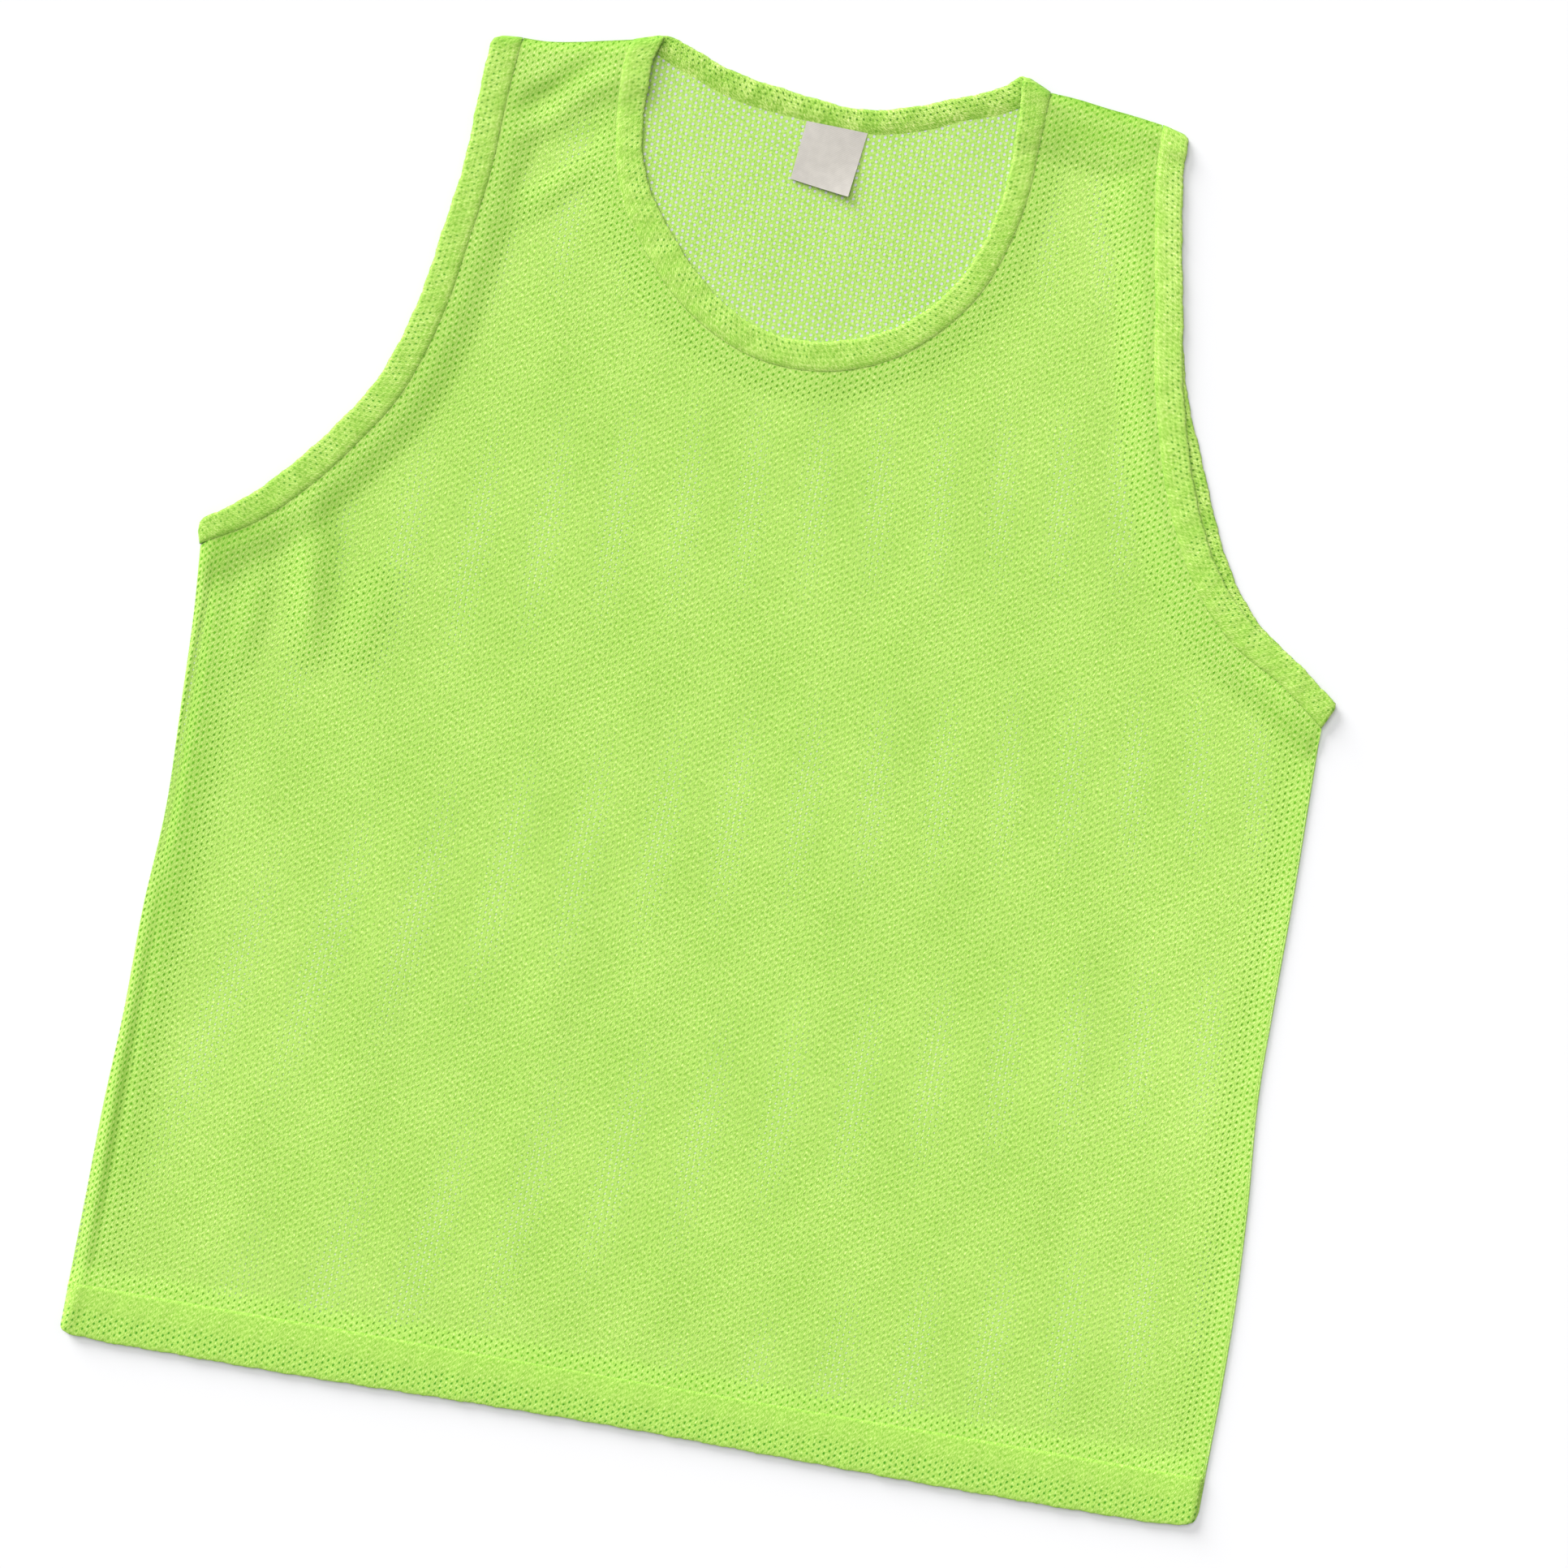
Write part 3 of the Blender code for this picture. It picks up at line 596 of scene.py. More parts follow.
def panel_grids(left_side, right_side, left_arm, right_arm, arm_rows, neck, neck_rows, fineness):
    """Grids of a panel: its body up to the scoop's corners, then a strap on each side of the neck."""
    side_rows = round(SIDE_STEPS * fineness)
    arm_steps = round(ARMHOLE_STEPS * fineness)
    strap_steps = round(STRAP_STEPS * fineness)
    near = np.cumsum(EDGE_COLUMNS) / HEM_WIDTH
    shoulder = np.linspace(near[-1], SHOULDER_SHARE, round(SHOULDER_STEPS * fineness) + 1)
    left_part = np.concatenate([near[:-1], shoulder])
    middle = np.linspace(SHOULDER_SHARE, 1.0 - SHOULDER_SHARE, round(SCOOP_STEPS * fineness) + 1)
    columns = np.concatenate([left_part[:-1], middle, (1.0 - left_part[::-1])[1:]])

    left = np.concatenate([even(left_side, side_rows)[:-1], stretch(left_arm, 0, arm_rows[0], arm_steps)])
    right = np.concatenate([even(right_side, side_rows)[:-1], stretch(right_arm, 0, arm_rows[1], arm_steps)])
    scoop = resampled(
        neck[neck_rows[0] * SUBSTEPS:neck_rows[1] * SUBSTEPS + 1],
        (middle - SHOULDER_SHARE) / (1 - 2 * SHOULDER_SHARE),
    )
    to_neck = left_part / SHOULDER_SHARE
    left_top = left[-1] + to_neck[:, None] * (scoop[0] - left[-1])
    right_top = scoop[-1] + (1.0 - to_neck[::-1])[:, None] * (right[-1] - scoop[-1])
    top = np.concatenate([left_top[:-1], scoop, right_top[1:]])
    bottom = left[0] + columns[:, None] * (right[0] - left[0])
    body = patch(bottom, top, left, right, columns, np.linspace(0.0, 1.0, len(left)))

    upward = np.linspace(0.0, 1.0, strap_steps + 1)
    left_strap = patch(
        left_top,
        resampled(smooth(SHOULDER_LEFT), to_neck),
        stretch(left_arm, arm_rows[0], last_row(left_arm), strap_steps),
        stretch(neck, 0, neck_rows[0], strap_steps)[::-1],
        to_neck,
        upward,
    )
    right_strap = patch(
        right_top,
        resampled(smooth(SHOULDER_RIGHT), to_neck)[::-1],
        stretch(neck, neck_rows[1], last_row(neck), strap_steps),
        stretch(right_arm, arm_rows[1], last_row(right_arm), strap_steps),
        1.0 - to_neck[::-1],
        upward,
    )
    return [body, left_strap, right_strap]


def placed(points, heights):
    """Points in metres in the frame, from millimetres on the cloth and their heights."""
    moved = np.stack([points[..., 0] - MIDDLE_X, points[..., 1] - MIDDLE_Y, heights], axis=-1)
    return moved * MILLIMETRE


def mesh_object(name, points, faces, material):
    """A new object from points in metres and faces."""
    mesh = bpy.data.meshes.new(name)
    mesh.from_pydata(points.tolist(), [], faces)
    mesh.materials.append(material)
    obj = bpy.data.objects.new(name, mesh)
    bpy.context.scene.collection.objects.link(obj)
    return obj


def deselect():
    """Leaves nothing selected."""
    for obj in bpy.context.selected_objects:
        obj.select_set(False)


def choose(obj):
    """Selects one object alone."""
    deselect()
    obj.select_set(True)
    bpy.context.view_layer.objects.active = obj


def grid_faces(rows, columns, start):
    """The faces of a grid of points, whose first point has the number start."""
    faces = []
    for j in range(rows - 1):
        for i in range(columns - 1):
            k = start + j * columns + i
            faces.append((k, k + 1, k + columns + 1, k + columns))
    return faces


def cloth_shell(name, grids, material, wall):
    """A closed thin shell of cloth from grids of points in metres that share their common edges."""
    points, faces = [], []
    for grid in grids:
        rows, columns, _ = grid.shape
        faces += grid_faces(rows, columns, sum(len(part) for part in points))
        points.append(grid.reshape(-1, 3))
    obj = mesh_object(name, np.concatenate(points), faces, material)
    shape = bmesh.new()
    shape.from_mesh(obj.data)
    bmesh.ops.remove_doubles(shape, verts=shape.verts, dist=MERGE)
    bmesh.ops.recalc_face_normals(shape, faces=shape.faces)
    if sum(face.normal.z for face in shape.faces) < 0.0:
        bmesh.ops.reverse_faces(shape, faces=shape.faces)
    shape.to_mesh(obj.data)
    shape.free()
    obj.data.shade_smooth()
    choose(obj)
    thickness = obj.modifiers.new("cloth wall", "SOLIDIFY")
    thickness.thickness = wall * MILLIMETRE
    thickness.offset = 0.0
    thickness.use_even_offset = True
    bpy.ops.object.modifier_apply(modifier=thickness.name)
    obj.data.set_sharp_from_angle(angle=math.radians(SHARP_ANGLE))
    return obj


def band_stations(band):
    """Sections along a band: points of its free edge, points of its sewn edge, place along it."""
    free, sewn = edge_between(band, 0.0), edge_between(band, 1.0)
    middle = (free + sewn) / 2
    place = np.concatenate([[0.0], np.cumsum(np.linalg.norm(np.diff(middle, axis=0), axis=1))])
    count = round(place[-1] / BAND_STEP)
    along = np.linspace(0.0, place[-1], count + 1)
    free, sewn = (
        np.stack([np.interp(along, place, line[:, i]) for i in (0, 1)], axis=1) for line in (free, sewn)
    )
    return free, sewn, along


def doubled_strip(name, free, sewn, along, level, section, material, pucker, ends=1.0):
    """A folded strip of cloth with a rounded free edge, as a closed form, with the knit laid along it.

    Each row of the section is a share of the way across and a height from the middle. ends is the share
    of its thickness that is left at both ends.
    """
    section = np.array(section)
    share = section[:, 0]
    top = section[:, 1] > 0
    count, ring = len(along), len(section)
    across = np.linalg.norm(sewn - free, axis=1)
    wobble = ripple(along, 0 * along, EDGE_WAVES)
    outward = (free - sewn) / across[:, None]
    grid = np.zeros((count, ring, 3))
    for i in range(count):
        reach = min(along[i], along[-1] - along[i])
        thick = ends + (1.0 - ends) * math.sqrt(1.0 - (1.0 - min(reach / END_REACH, 1.0)) ** 2)
        spots = free[i] + share[:, None] * (sewn[i] - free[i])
        spots = spots + outward[i] * (wobble[i] * (1.0 - share))[:, None]
        lift = ripple(np.full(ring, along[i]), share * across[i], pucker)
        height = level[i] + thick * section[:, 1] + np.where(top, lift, 0.0)
        grid[i] = placed(spots, height)
    faces = []
    for i in range(count - 1):
        for j in range(ring):
            a, b = i * ring + j, i * ring + (j + 1) % ring
            faces.append((a, b, b + ring, a + ring))
    faces.append(tuple(reversed(range(ring))))
    faces.append(tuple(range((count - 1) * ring, count * ring)))
    obj = mesh_object(name, grid.reshape(-1, 3), faces, material)
    shape = bmesh.new()
    shape.from_mesh(obj.data)
    layer = shape.loops.layers.uv.new("cloth")
    for face in shape.faces:
        for loop in face.loops:
            i, j = divmod(loop.vert.index, ring)
            loop[layer].uv = (along[i] * MILLIMETRE, share[j] * across[i] * MILLIMETRE)
    bmesh.ops.recalc_face_normals(shape, faces=shape.faces)
    shape.to_mesh(obj.data)
    shape.free()
    obj.data.shade_smooth()
    return obj


def linear(text):
    """A hex sRGB colour as linear red, green, blue and alpha."""
    shares = [int(text[i:i + 2], 16) / 255.0 for i in (0, 2, 4)]
    return (*[c / 12.92 if c <= 0.04045 else ((c + 0.055) / 1.055) ** 2.4 for c in shares], 1.0)


def add(tree, kind, inputs, output=None, **settings):
    """Adds a node with its settings, values and links, and gives the output asked for, or its first."""
    node = tree.nodes.new(kind)
    for name, value in settings.items():
        setattr(node, name, value)
    for key, value in inputs.items():
        named = [s for s in node.inputs if s.enabled and s.name == key]
        socket = node.inputs[key] if isinstance(key, int) else named[0]
        if isinstance(value, bpy.types.NodeSocket):
            tree.links.new(value, socket)
        else:
            socket.default_value = value
    return next((s for s in node.outputs if s.enabled and output in (None, s.name)), None)


def new_material(name):
    """A material with no nodes yet, and its node tree."""
    material = bpy.data.materials.new(name)
    material.use_nodes = True
    material.node_tree.nodes.clear()
    return material, material.node_tree


def hole_distance(tree, spot, next_holes, start, hole, slant):
    """How far a spot in millimetres is from the nearest hole of the mesh, where 1 is the hole's edge."""
    (ax, ay), (bx, by) = next_holes
    turn = ax * by - ay * bx
    first, second = [
        add(tree, "ShaderNodeVectorMath", {0: spot, 1: way}, operation="DOT_PRODUCT")
        for way in ((by / turn, -bx / turn, 0.0), (-ay / turn, ax / turn, 0.0))
    ]
    counted = add(tree, "ShaderNodeCombineXYZ", {"X": first, "Y": second})
    moved = add(tree, "ShaderNodeVectorMath", {0: counted, 1: (*start, 0.0)}, operation="ADD")
    near = add(tree, "ShaderNodeVectorMath", {
        0: moved, 1: (0.5, 0.5, 0.5), 2: (-0.5, -0.5, -0.5),
    }, operation="WRAP")
    way = math.radians(slant)
    sizes = ((math.cos(way), math.sin(way), hole[1] / 2), (-math.sin(way), math.cos(way), hole[0] / 2))
    shares = []
    for x, y, size in sizes:
        reach = ((ax * x + ay * y) / size, (bx * x + by * y) / size, 0.0)
        shares.append(add(tree, "ShaderNodeVectorMath", {0: near, 1: reach}, operation="DOT_PRODUCT"))
    oval = add(tree, "ShaderNodeCombineXYZ", {"X": shares[0], "Y": shares[1]})
    return add(tree, "ShaderNodeVectorMath", {0: oval}, operation="LENGTH")


def mesh_cloth(name, next_holes, start, hole, tints, seed, dots=None, relief=YARN_RELIEF, mottle=0.0):
    """Warp-knitted polyester mesh: a soft dull sheen, slanted strokes of yarn, rows of small oval holes.

    tints are the yarn's colour and a painted colour down in a hole, painted shade of what lies below. With
    no dots the holes are open, the yarn lets light through, and part of each hole is filled with painted
    shade or light of what lies below. Else a second layer closes them, and they show as dots of painted
    shade that are stronger and weaker between the two shares. relief is how much lighter the lit yarn is,
    and mottle the strength of the patches. seed moves the strokes along. The pattern follows the piece's own
    UV map.
    """
    material, tree = new_material(name)
    place = add(tree, "ShaderNodeTexCoord", {}, output="UV")
    spot = add(tree, "ShaderNodeVectorMath", {0: place, "Scale": 1.0 / MILLIMETRE}, operation="SCALE")
    gap = hole_distance(tree, spot, next_holes, start, hole, HOLE_SLANT)
    spread = add(tree, "ShaderNodeAttribute", {}, output="Fac", attribute_name="spread")
    gap = add(tree, "ShaderNodeMath", {0: gap, 1: spread}, operation="DIVIDE")

    lean = math.radians(BAND_SLANT if mottle else STROKE_SLANT)
    slanted = add(tree, "ShaderNodeMapping", {
        "Vector": spot, "Location": (seed, 0.0, 0.0), "Rotation": (0.0, 0.0, lean), "Scale": (*STROKE, 1.0),
    }, vector_type="TEXTURE")
    strokes = add(tree, "ShaderNodeTexNoise", {
        "Vector": slanted, "Scale": 1.0, "Detail": 0.0,
    }, noise_dimensions="2D")
    grain = add(tree, "ShaderNodeTexNoise", {
        "Vector": spot, "Scale": 1.0 / GRAIN, "Detail": 0.0,
    }, noise_dimensions="2D")
    yarn = add(tree, "ShaderNodeMix", {"Factor": 0.4, "A": strokes, "B": grain})
    yarn = add(tree, "ShaderNodeMapRange", {"Value": yarn, "From Min": 0.39, "From Max": 0.61})

    fuzzy = add(tree, "ShaderNodeMath", {0: yarn, 1: 0.14, 2: gap}, operation="MULTIPLY_ADD")
    open_share = add(tree, "ShaderNodeMapRange", {
        "Value": fuzzy, "From Min": 0.90, "From Max": 1.24, "To Min": 1.0, "To Max": 0.0,
    }, interpolation_type="SMOOTHSTEP")
    rim = add(tree, "ShaderNodeMapRange", {
        "Value": gap, "From Min": 0.9, "From Max": 2.1, "To Min": 0.0, "To Max": 1.0,
    }, interpolation_type="SMOOTHSTEP")

    # One lightness for strokes, painted shade round the holes, and painted shade and light of the cloth.
    # Darker yarn is also greener and more saturated
    lit = add(tree, "ShaderNodeMapRange", {
        "Value": yarn, "To Min": 1.0 - relief / 2, "To Max": 1.0 + relief / 2,
    })
    between = (start[0] + 0.5, start[1] + 0.5)
    strand = hole_distance(tree, spot, next_holes, between, STRAND, STROKE_SLANT)
    strand = add(tree, "ShaderNodeMapRange", {
        "Value": strand, "From Min": 0.3, "From Max": 1.2,
        "To Min": 1.0 + STRAND_SHARE, "To Max": 1.0 - STRAND_SHARE / 2,
    }, interpolation_type="SMOOTHSTEP")
    lit = add(tree, "ShaderNodeMath", {0: lit, 1: strand}, operation="MULTIPLY")
    shaded = add(tree, "ShaderNodeMapRange", {"Value": rim, "To Min": RIM_SHADE, "To Max": 1.0})
    lit = add(tree, "ShaderNodeMath", {0: lit, 1: shaded}, operation="MULTIPLY")
    if mottle:
        patches = add(tree, "ShaderNodeTexNoise", {
            "Vector": spot, "Scale": 1.0 / MOTTLE, "Detail": 3.0,
        }, noise_dimensions="2D")
        patches = add(tree, "ShaderNodeMapRange", {
            "Value": patches, "From Min": 0.34, "From Max": 0.66,
            "To Min": 1.0 - mottle, "To Max": 1.0 + mottle / 2,
        })
        lit = add(tree, "ShaderNodeMath", {0: lit, 1: patches}, operation="MULTIPLY")
    # Painted shade and light of the piece, with its lightness and random patches, read from its points
    tone_and_painted_shading = add(tree, "ShaderNodeAttribute", {}, output="Fac", attribute_name="tone_and_painted_shading")
    lit = add(tree, "ShaderNodeMath", {0: lit, 1: tone_and_painted_shading}, operation="MULTIPLY")
    lit = add(tree, "ShaderNodeCombineXYZ", {
        "X": add(tree, "ShaderNodeMath", {0: lit, 1: 2.0}, operation="POWER"),
        "Y": lit,
        "Z": add(tree, "ShaderNodeMath", {0: lit, 1: 3.5}, operation="POWER"),
    })
    colour = add(tree, "ShaderNodeVectorMath", {0: lit, 1: linear(tints[0])[:3]}, operation="MULTIPLY")
    if dots:
        # The dots are painted shade of the inner layer down in the holes
        uneven = add(tree, "ShaderNodeTexNoise", {
            "Vector": spot, "Scale": DOT_PATCHES, "Detail": 2.0,
        }, noise_dimensions="2D")
        strength = add(tree, "ShaderNodeMapRange", {
            "Value": uneven, "From Min": 0.40, "From Max": 0.60, "To Min": dots[0], "To Max": dots[1],
        })
        where = add(tree, "ShaderNodeAttribute", {}, output="Fac", attribute_name="dots")
        strength = add(tree, "ShaderNodeMath", {0: strength, 1: where}, operation="MULTIPLY")
        closed = add(tree, "ShaderNodeMath", {0: open_share, 1: strength}, operation="MULTIPLY")
        colour = add(tree, "ShaderNodeMix", {
            "Factor": closed, "A": colour, "B": linear(tints[1]),
        }, data_type="RGBA")

    fuzz = add(tree, "ShaderNodeMapRange", {"Value": yarn, "To Min": 0.86, "To Max": 0.70})
    dull = {
        "Base Color": colour, "Roughness": fuzz, "IOR": 1.5, "Specular IOR Level": 0.28,
        "Sheen Weight": 0.10, "Sheen Roughness": 0.5,
    }
    if dots:
        height = add(tree, "ShaderNodeMath", {0: yarn, 1: 0.6, 2: rim}, operation="MULTIPLY_ADD")
        bump = add(tree, "ShaderNodeBump", {"Strength": 0.22, "Distance": 0.00012, "Height": height})
        front = add(tree, "ShaderNodeBsdfPrincipled", {**dull, "Normal": bump})
        add(tree, "ShaderNodeOutputMaterial", {"Surface": front})
        return material
    front = add(tree, "ShaderNodeBsdfPrincipled", dull)
    lit_through = add(tree, "ShaderNodeMix", {
        "Factor": 0.65, "A": colour, "B": linear(THROUGH_TINT),
    }, data_type="RGBA")
    glow = add(tree, "ShaderNodeBsdfTranslucent", {"Color": lit_through})
    cloth = add(tree, "ShaderNodeMixShader", {0: THROUGH_YARN, 1: front, 2: glow})
    clear = add(tree, "ShaderNodeBsdfTransparent", {})
    # Part of each hole is filled with painted colour: painted shade of the back's yarn under the front, and
    # painted shade or light of the board under the back
    below = add(tree, "ShaderNodeAttribute", {}, output="Fac", attribute_name="covered")
    below = add(tree, "ShaderNodeMix", {
        "Factor": below, "A": linear(tints[1]), "B": linear(PAINTED_FLOOR_LIGHT),
    }, data_type="RGBA")
    deep = add(tree, "ShaderNodeBsdfDiffuse", {"Color": below})
    painted_fill = add(tree, "ShaderNodeAttribute", {}, output="Fac", attribute_name="painted_fill")
    down = add(tree, "ShaderNodeMixShader", {0: painted_fill, 1: clear, 2: deep})
    holes = add(tree, "ShaderNodeMixShader", {0: open_share, 1: cloth, 2: down})
    add(tree, "ShaderNodeOutputMaterial", {"Surface": holes})
    return material


def woven_label(name):
    """Bare polyester satin tape: fine ribs across it, a soft gloss, and slightly uneven in lightness."""
    material, tree = new_material(name)
    place = add(tree, "ShaderNodeTexCoord", {}, output="UV")
    scale = (1.0 / MILLIMETRE, 1.0 / MILLIMETRE, 1.0)
    spot = add(tree, "ShaderNodeMapping", {"Vector": place, "Scale": scale})
    ribs = add(tree, "ShaderNodeTexWave", {
        "Vector": spot, "Scale": 1.0 / RIB_SPACING / WAVE_UNITS, "Distortion": 0.6, "Detail": 1.0,
    }, bands_direction="Y", output="Fac")
    soft = add(tree, "ShaderNodeTexNoise", {
        "Vector": spot, "Scale": 0.25, "Detail": 3.0,
    }, noise_dimensions="2D")
    worn = add(tree, "ShaderNodeMapRange", {
        "Value": soft, "From Min": 0.3, "From Max": 0.7, "To Min": 0.93, "To Max": 1.03,
    })
    thread = add(tree, "ShaderNodeMapRange", {"Value": ribs, "To Min": 0.95, "To Max": 1.0})
    light = add(tree, "ShaderNodeMath", {0: worn, 1: thread}, operation="MULTIPLY")
    colour = add(tree, "ShaderNodeVectorMath", {
        0: linear(LABEL_TINT)[:3], "Scale": light,
    }, operation="SCALE")
    bump = add(tree, "ShaderNodeBump", {"Strength": 0.25, "Distance": 0.00012, "Height": ribs})
    satin = add(tree, "ShaderNodeBsdfPrincipled", {
        "Base Color": colour, "Roughness": 0.45, "IOR": 1.5, "Normal": bump, "Sheen Weight": 0.2,
    })
    add(tree, "ShaderNodeOutputMaterial", {"Surface": satin})
    return material


def white_board(name):
    """Matt white board under the cloth, with a grain that is too fine to show at this distance."""
    material, tree = new_material(name)
    place = add(tree, "ShaderNodeTexCoord", {}, output="Object")
    grain = add(tree, "ShaderNodeTexNoise", {
        "Vector": place, "Scale": 900.0, "Detail": 1.0,
    }, noise_dimensions="2D")
    bump = add(tree, "ShaderNodeBump", {"Strength": 0.02, "Distance": 0.0001, "Height": grain})
    board = add(tree, "ShaderNodeBsdfPrincipled", {
        "Base Color": linear(BOARD_TINT), "Roughness": 0.8, "Normal": bump, "Specular IOR Level": 0.2,
    })
    add(tree, "ShaderNodeOutputMaterial", {"Surface": board})
    return material


def write_on(obj, name, rule):
    """Writes a number on each point of a piece, by a rule of its place on the cloth in millimetres."""
    spots = np.empty(len(obj.data.vertices) * 3, np.float32)
    obj.data.vertices.foreach_get("co", spots)
    spots = spots.reshape(-1, 3) / MILLIMETRE
    values = rule(np.stack([spots[:, 0] + MIDDLE_X, spots[:, 1] + MIDDLE_Y], axis=-1))
    obj.data.attributes.new(name, "FLOAT", "POINT").data.foreach_set("value", values.astype(np.float32))


def write_knit(obj, bow, gather=None):
    """Lays the knit on a piece as its UV map, with its bow, its slow drift and its gathers."""
    spots = np.empty(len(obj.data.vertices) * 3, np.float32)
    obj.data.vertices.foreach_get("co", spots)
    x, y = (spots.reshape(-1, 3)[:, :2] / MILLIMETRE).T.astype(float)
    aside = gather(np.stack([x + MIDDLE_X, y + MIDDLE_Y], axis=-1)) if gather else 0.0
    dx, dy = x - BOW_MIDDLE[0], y - BOW_MIDDLE[1]
    terms = np.stack([dx * dx, dx * dy, dy * dy]) / BOW_REACH ** 2
    place = np.stack([
        x + np.asarray(bow[0]) @ terms + ripple(x, y, DRIFT[0]) + aside,
        y + np.asarray(bow[1]) @ terms + ripple(x, y, DRIFT[1]),
    ], axis=1)
    corners = np.empty(len(obj.data.loops), np.int32)
    obj.data.loops.foreach_get("vertex_index", corners)
    layer = obj.data.uv_layers.get("cloth") or obj.data.uv_layers.new(name="cloth")
    layer.data.foreach_set("uv", (place[corners] * MILLIMETRE).astype(np.float32).ravel())


def cloth_tone_and_painted_shading(points):
    """Painted shade and light of the front and back cloth, on its lightness and its random patches."""
    x, y = points[..., 0], points[..., 1]
    return CLOTH_TONE + fold_height(x, y, PAINTED_SHADING) + ripple(x, y, PATCHES)


def front_tone_and_painted_shading(points):
    """The same for the front, with painted shade on its slopes away from the light."""
    way = math.radians(LIGHT_SIDE)
    towards = np.array([math.cos(way), math.sin(way)])
    slope = (front_level(points + towards) - front_level(points - towards)) / 2
    return cloth_tone_and_painted_shading(points) - SLOPE_PAINTED_SHADE * ease(slope / FULL_SLOPE)


def band_tone_and_painted_shading(points):
    """Painted shade and light of the bands and hems, on their lightness."""
    return BAND_TONE + fold_height(points[..., 0], points[..., 1], PAINTED_SHADING)


def front_spread(points):
    """Size of the front's holes: the knit is drawn open where it bridges bands, seams and folds."""
    y = points[..., 1]
    from_left = distance(LEFT_LINE, points)
    from_edge = np.minimum(from_left, distance(RIGHT_LINE, points))
    opened = ease(1.0 - np.minimum(past_bands(points), from_edge - OPEN_SIDE) / OPEN_FADE)
    opened = opened * ease((y - OPEN_BOTTOM) / OPEN_RISE)
    rolled = ease((ROLLED_REACH - from_left) / ROLLED_FADE) * (y > OPEN_BOTTOM)
    wide = HOLE_SPREAD[0] + (HOLE_SPREAD[1] - HOLE_SPREAD[0]) * opened
    return wide * (1.0 + ROLLED_SPREAD * rolled)


def front_painted_fill(points):
    """How far painted shade of the back's yarn below fills the front's holes."""
    above = front_level(points) - shared_height(points) - FRONT_LEVEL
    return LEAST_PAINTED_FILL + (RAISED_PAINTED_FILL - LEAST_PAINTED_FILL) * ease(above / PAINTED_FILL_LIFT)


def back_spread(points):
    """Size of the back's holes: full, and closed on the right side's rim and at the shoulder seams."""
    outside = points[..., 0] - np.interp(points[..., 1], RIGHT_LINE[:, 1], RIGHT_LINE[:, 0])
    from_seam = np.min([distance(edge, points) for edge in SHOULDER_EDGES], axis=0)
    closed = np.maximum(ease(outside + CLOSED_RIM), ease((CLOSED_SEAM - from_seam) / CLOSED_FADE))
    return 1.0 - CLOSED_SHARE * closed


def back_painted_fill(points):
    """The share of the back's holes filled with painted colour of the board below."""
    return np.full(len(points), BACK_PAINTED_FILL)


def covered(points):
    """Where the front covers the back: everywhere outside the neck opening, where the back's holes get
    painted light of the board.
    """
    # The rows between which the scoop's free edge runs from left to right
    rows = np.array(NECK_FRONT)[2:-1]
    edge = np.interp(points[..., 0], rows[:, 0], rows[:, 1], left=OUTSIDE_NECK, right=OUTSIDE_NECK)
    return ease((edge - points[..., 1]) / NECK_FADE)


def all_over(points):
    """The same all over the piece."""
    return np.ones(len(points))


def side_gather(points):
    """How far the columns of holes are drawn towards the rolled left side, in millimetres."""
    return -GATHER * ease(1.0 - distance(LEFT_LINE, points) / GATHER_REACH)


def hem_dots(points):
    """Strength of the hem's dots: clear below the line where the cloth is turned up, faint above it."""
    y = points[..., 1]
    clear = ease((HEM_FOLD - y) / FOLD_FADE) * ease((y - FREE_EDGE) / DOT_FADE)
    return FAINT_DOTS + (1.0 - FAINT_DOTS) * clear


def build_panels(material_front, material_back):
    """The front and back cloth."""
    left_side, right_side = smooth(SIDE_LEFT), front_right_side()
    left_side[0, 1] -= TUCK_UNDER
    right_side[0, 1] -= TUCK_UNDER
    grids = panel_grids(
        left_side, right_side,
        panel_edge(ARMHOLE_LEFT, left_side[-1], SHOULDER_LEFT[0]),
        panel_edge(ARMHOLE_RIGHT, right_side[-1], SHOULDER_RIGHT[0]),
        (ARMHOLE_LEFT_ROW, ARMHOLE_RIGHT_ROW),
        panel_edge(NECK_FRONT, SHOULDER_LEFT[-1], SHOULDER_RIGHT[-1]), NECK_FRONT_ROWS, 1.0,
    )
    front = cloth_shell("front_cloth", [placed(g, front_level(g)) for g in grids], material_front, CLOTH)
    write_on(front, "tone_and_painted_shading", front_tone_and_painted_shading)
    write_on(front, "spread", front_spread)
    write_on(front, "painted_fill", front_painted_fill)
    write_knit(front, FRONT_BOW, side_gather)

    grids = panel_grids(
        left_side, right_side,
        panel_edge(tucked(ARMHOLE_LEFT), left_side[-1], SHOULDER_LEFT[0]),
        panel_edge(ARMHOLE_RIGHT_BACK, right_side[-1], SHOULDER_RIGHT[0]),
        (ARMHOLE_LEFT_ROW, ARMHOLE_RIGHT_BACK_ROW),
        panel_edge(NECK_BACK, SHOULDER_LEFT[-1], SHOULDER_RIGHT[-1]), NECK_BACK_ROWS, BACK_FINENESS,
    )
    layers = [placed(g, back_level(g)) for g in grids]
    # The rim is a further strip of the back, along its right side
    edge = grids[0][:round(SIDE_STEPS * BACK_FINENESS) + 1, -1]
    share = rim_share(edge[:, 1])
    first = RIM_SECTION[0]
    rim = [
        placed(
            edge + share[:, None] * np.array([out - first[0], 0.0]), first[1] + share * (up - first[1]),
        )
        for out, up in RIM_SECTION
    ]
    layers.append(np.stack(rim, axis=1))
    back = cloth_shell("back_cloth", layers, material_back, CLOTH)
    write_on(back, "tone_and_painted_shading", cloth_tone_and_painted_shading)
    write_on(back, "spread", back_spread)
    write_on(back, "painted_fill", back_painted_fill)
    write_on(back, "covered", covered)
    write_knit(back, BACK_BOW)
    return front, back


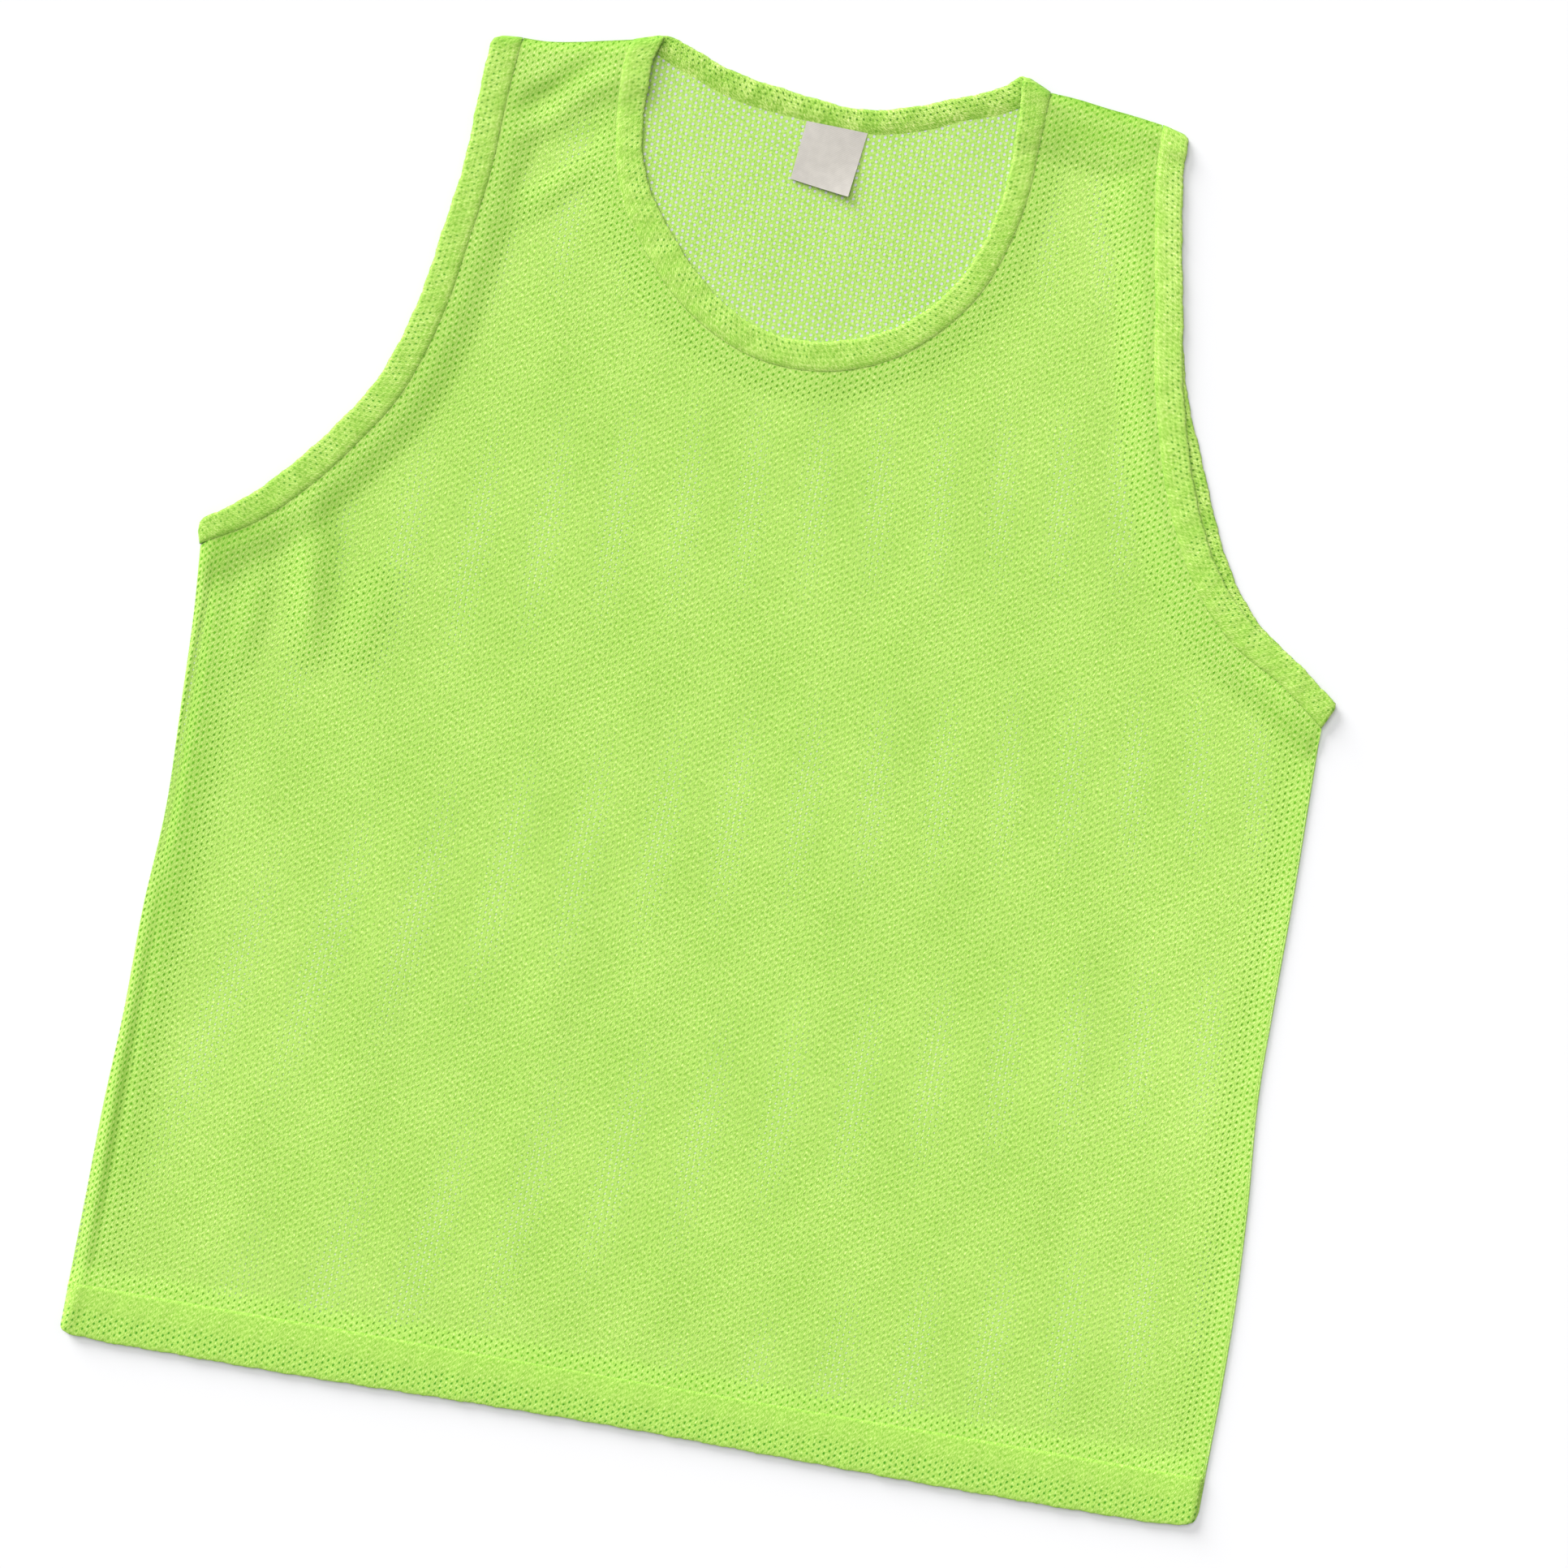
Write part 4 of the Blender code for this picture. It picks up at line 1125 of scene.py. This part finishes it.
def build_band(name, band, level, material, node, section=BAND_SECTION, corner=0.0):
    """A neck or armhole band in the place of its solid, with its free corners rounded."""
    free, sewn, along = band_stations(band)
    width = np.linalg.norm(sewn - free, axis=1)
    reach = np.minimum(along, along[-1] - along)
    if corner:
        cut = corner * (1.0 - np.sqrt(1.0 - (1.0 - np.clip(reach / corner, 0.0, 1.0)) ** 2))
        free = free + (sewn - free) * (cut / width)[:, None]
    piece = doubled_strip(name, free, sewn, along, level(sewn), section, material, BAND_WAVES)
    write_on(piece, "tone_and_painted_shading", band_tone_and_painted_shading)
    write_on(piece, "spread", all_over)
    sewn_line = even(edge_between(band, 1.0), 60)

    def band_dots(points):
        clear = ease((distance(sewn_line, points) - SEWN_PART) / DOT_FADE)
        return FAINT_SEAM + (1.0 - FAINT_SEAM) * clear

    write_on(piece, "dots", band_dots)
    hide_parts(node)
    return piece


def build_hem(name, inset, level, material, node):
    """The turned-up lower edge, in the place of its solid, drawn in by the inset at its right end."""
    lower = even(smooth(HEM_EDGE), HEM_STEPS)
    span = lower[-1, 0] - lower[0, 0]
    lower[:, 0] -= inset * (lower[:, 0] - lower[0, 0]) / span
    upper = np.linspace((SIDE_LEFT[0][0], HEM_TOP), (SIDE_RIGHT[0][0] - inset, HEM_TOP), HEM_STEPS + 1)
    along = lower[:, 0] - lower[0, 0]
    piece = doubled_strip(
        name, lower, upper, along, level(upper), HEM_SECTION, material, HEM_WAVES, ends=HEM_ENDS,
    )
    write_on(piece, "tone_and_painted_shading", band_tone_and_painted_shading)
    write_on(piece, "spread", all_over)
    write_on(piece, "dots", hem_dots)
    write_knit(piece, FRONT_BOW)
    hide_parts(node)
    return piece


def build_label(material):
    """The neck label: a bare tape, its upper end under the band, its free end a little curled."""
    corners = np.array(LABEL)
    shares = np.linspace(0.0, 1.0, LABEL_STEPS + 1)
    right, up = shares[None, :, None], shares[:, None, None]
    grid = (1 - up) * ((1 - right) * corners[0] + right * corners[1])
    grid = grid + up * ((1 - right) * corners[3] + right * corners[2])
    right, down = right[..., 0], 1.0 - up[..., 0]
    height = LABEL_LEVEL + LABEL_CURL * (right * down) ** 2 + LABEL_LIFT * (down ** 2)
    height = height + LABEL_WAVE * np.sin(3.0 * right + 2.0 * down)
    piece = cloth_shell("label_tape", [placed(grid, height)], material, LABEL_WALL)
    layer = piece.data.uv_layers.new(name="cloth")
    across = (corners[1] - corners[0]) / np.linalg.norm(corners[1] - corners[0])
    upward = np.array([-across[1], across[0]])
    for loop in piece.data.loops:
        spot = np.array(piece.data.vertices[loop.vertex_index].co[:2]) / MILLIMETRE
        spot = spot + np.array([MIDDLE_X, MIDDLE_Y]) - corners[0]
        layer.data[loop.index].uv = (float(spot @ across) * MILLIMETRE, float(spot @ upward) * MILLIMETRE)
    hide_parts("label")
    return piece


def light_and_camera():
    """Even white light, a low and a high lamp at the upper left, and a camera straight above."""
    world = bpy.data.worlds.new("studio")
    bpy.context.scene.world = world
    world.use_nodes = True
    sky = world.node_tree.nodes["Background"]
    sky.inputs["Color"].default_value = (1.0, 1.0, 1.0, 1.0)
    sky.inputs["Strength"].default_value = SKY_LIGHT
    for name, strength, softness, height, side in LAMPS:
        light = bpy.data.lights.new(name, "SUN")
        light.energy = strength
        light.angle = math.radians(softness)
        lamp = bpy.data.objects.new(name, light)
        lamp.rotation_euler = (0.0, math.radians(90.0 - height), math.radians(side))
        bpy.context.scene.collection.objects.link(lamp)

    lens = bpy.data.cameras.new("camera")
    lens.sensor_width = SENSOR
    lens.lens = SENSOR * CAMERA_HEIGHT / VIEW_WIDTH
    camera = bpy.data.objects.new("camera", lens)
    camera.location = (*CAMERA_PLACE, CAMERA_HEIGHT)
    camera.rotation_euler = (0.0, 0.0, math.radians(CAMERA_TURN))
    bpy.context.scene.collection.objects.link(camera)
    bpy.context.scene.camera = camera
    bpy.context.scene.view_settings.view_transform = "Standard"

    bpy.ops.mesh.primitive_plane_add(size=BOARD_WIDTH, location=(0.0, 0.0, 0.0))
    floor = bpy.context.object
    floor.name = "floor"
    floor.data.materials.append(white_board("matt white board"))
    return floor


def main():
    """The whole bib, its light and its camera."""
    deselect()
    floor = light_and_camera()
    front_mesh = mesh_cloth(
        "warp-knitted polyester mesh, front", FRONT_HOLES, (0.0, 0.0), HOLE, CLOTH_TINTS, 3.0,
    )
    back_mesh = mesh_cloth(
        "warp-knitted polyester mesh, back", BACK_HOLES, BACK_START, BACK_HOLE, BACK_TINTS, 40.0,
    )
    band_mesh = mesh_cloth(
        "doubled polyester mesh, front bands", BAND_HOLES, BAND_START, BAND_HOLE, BAND_TINTS, 11.0,
        dots=(0.25, 0.95), relief=0.32, mottle=0.07,
    )
    back_band_mesh = mesh_cloth(
        "doubled polyester mesh, back bands", BAND_HOLES, BAND_START, BAND_HOLE, BACK_BAND_TINTS, 11.0,
        dots=(0.75, 1.0), relief=0.46, mottle=0.14,
    )
    hem_mesh = mesh_cloth(
        "doubled polyester mesh, hem", FRONT_HOLES, (0.0, 0.0), HEM_HOLE, HEM_TINTS, 3.0,
        dots=(0.85, 1.0),
    )
    front, back = build_panels(front_mesh, back_mesh)
    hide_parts("front_panel")
    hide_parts("back_panel")

    def on_surface(points):
        return np.full(len(points), BACK_BAND_LEVEL)

    def on_front(points):
        return front_level(points) + BAND_LIFT

    back_pieces = [
        build_hem("back_hem", 0.0, on_surface, hem_mesh, "hem_back"),
        build_band("back_neck_band", NECK_BACK, on_surface, back_band_mesh, "neck_band_back",
                   FLUSH_SECTION, NECK_CORNER),
        build_band("back_left_armhole_band", tucked(ARMHOLE_LEFT), on_surface, back_band_mesh,
                   "armhole_band_left_back", corner=LEFT_CORNER),
        build_band("back_right_armhole_band", ARMHOLE_RIGHT_BACK, on_surface, back_band_mesh,
                   "armhole_band_right_back", corner=RIGHT_CORNER),
    ]
    front_pieces = [
        build_hem("front_hem", RIM, on_front, hem_mesh, "hem_front"),
        build_band("front_neck_band", NECK_FRONT, on_front, band_mesh, "neck_band_front",
                   corner=NECK_CORNER),
        build_band("front_left_armhole_band", ARMHOLE_LEFT, on_front, band_mesh,
                   "armhole_band_left_front", corner=LEFT_CORNER),
        build_band("front_right_armhole_band", ARMHOLE_RIGHT, on_front, band_mesh,
                   "armhole_band_right_front", corner=RIGHT_CORNER),
    ]
    label = build_label(woven_label("polyester satin tape"))

    for piece in [front, back, *back_pieces, *front_pieces, label]:
        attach(piece, "root")


main()
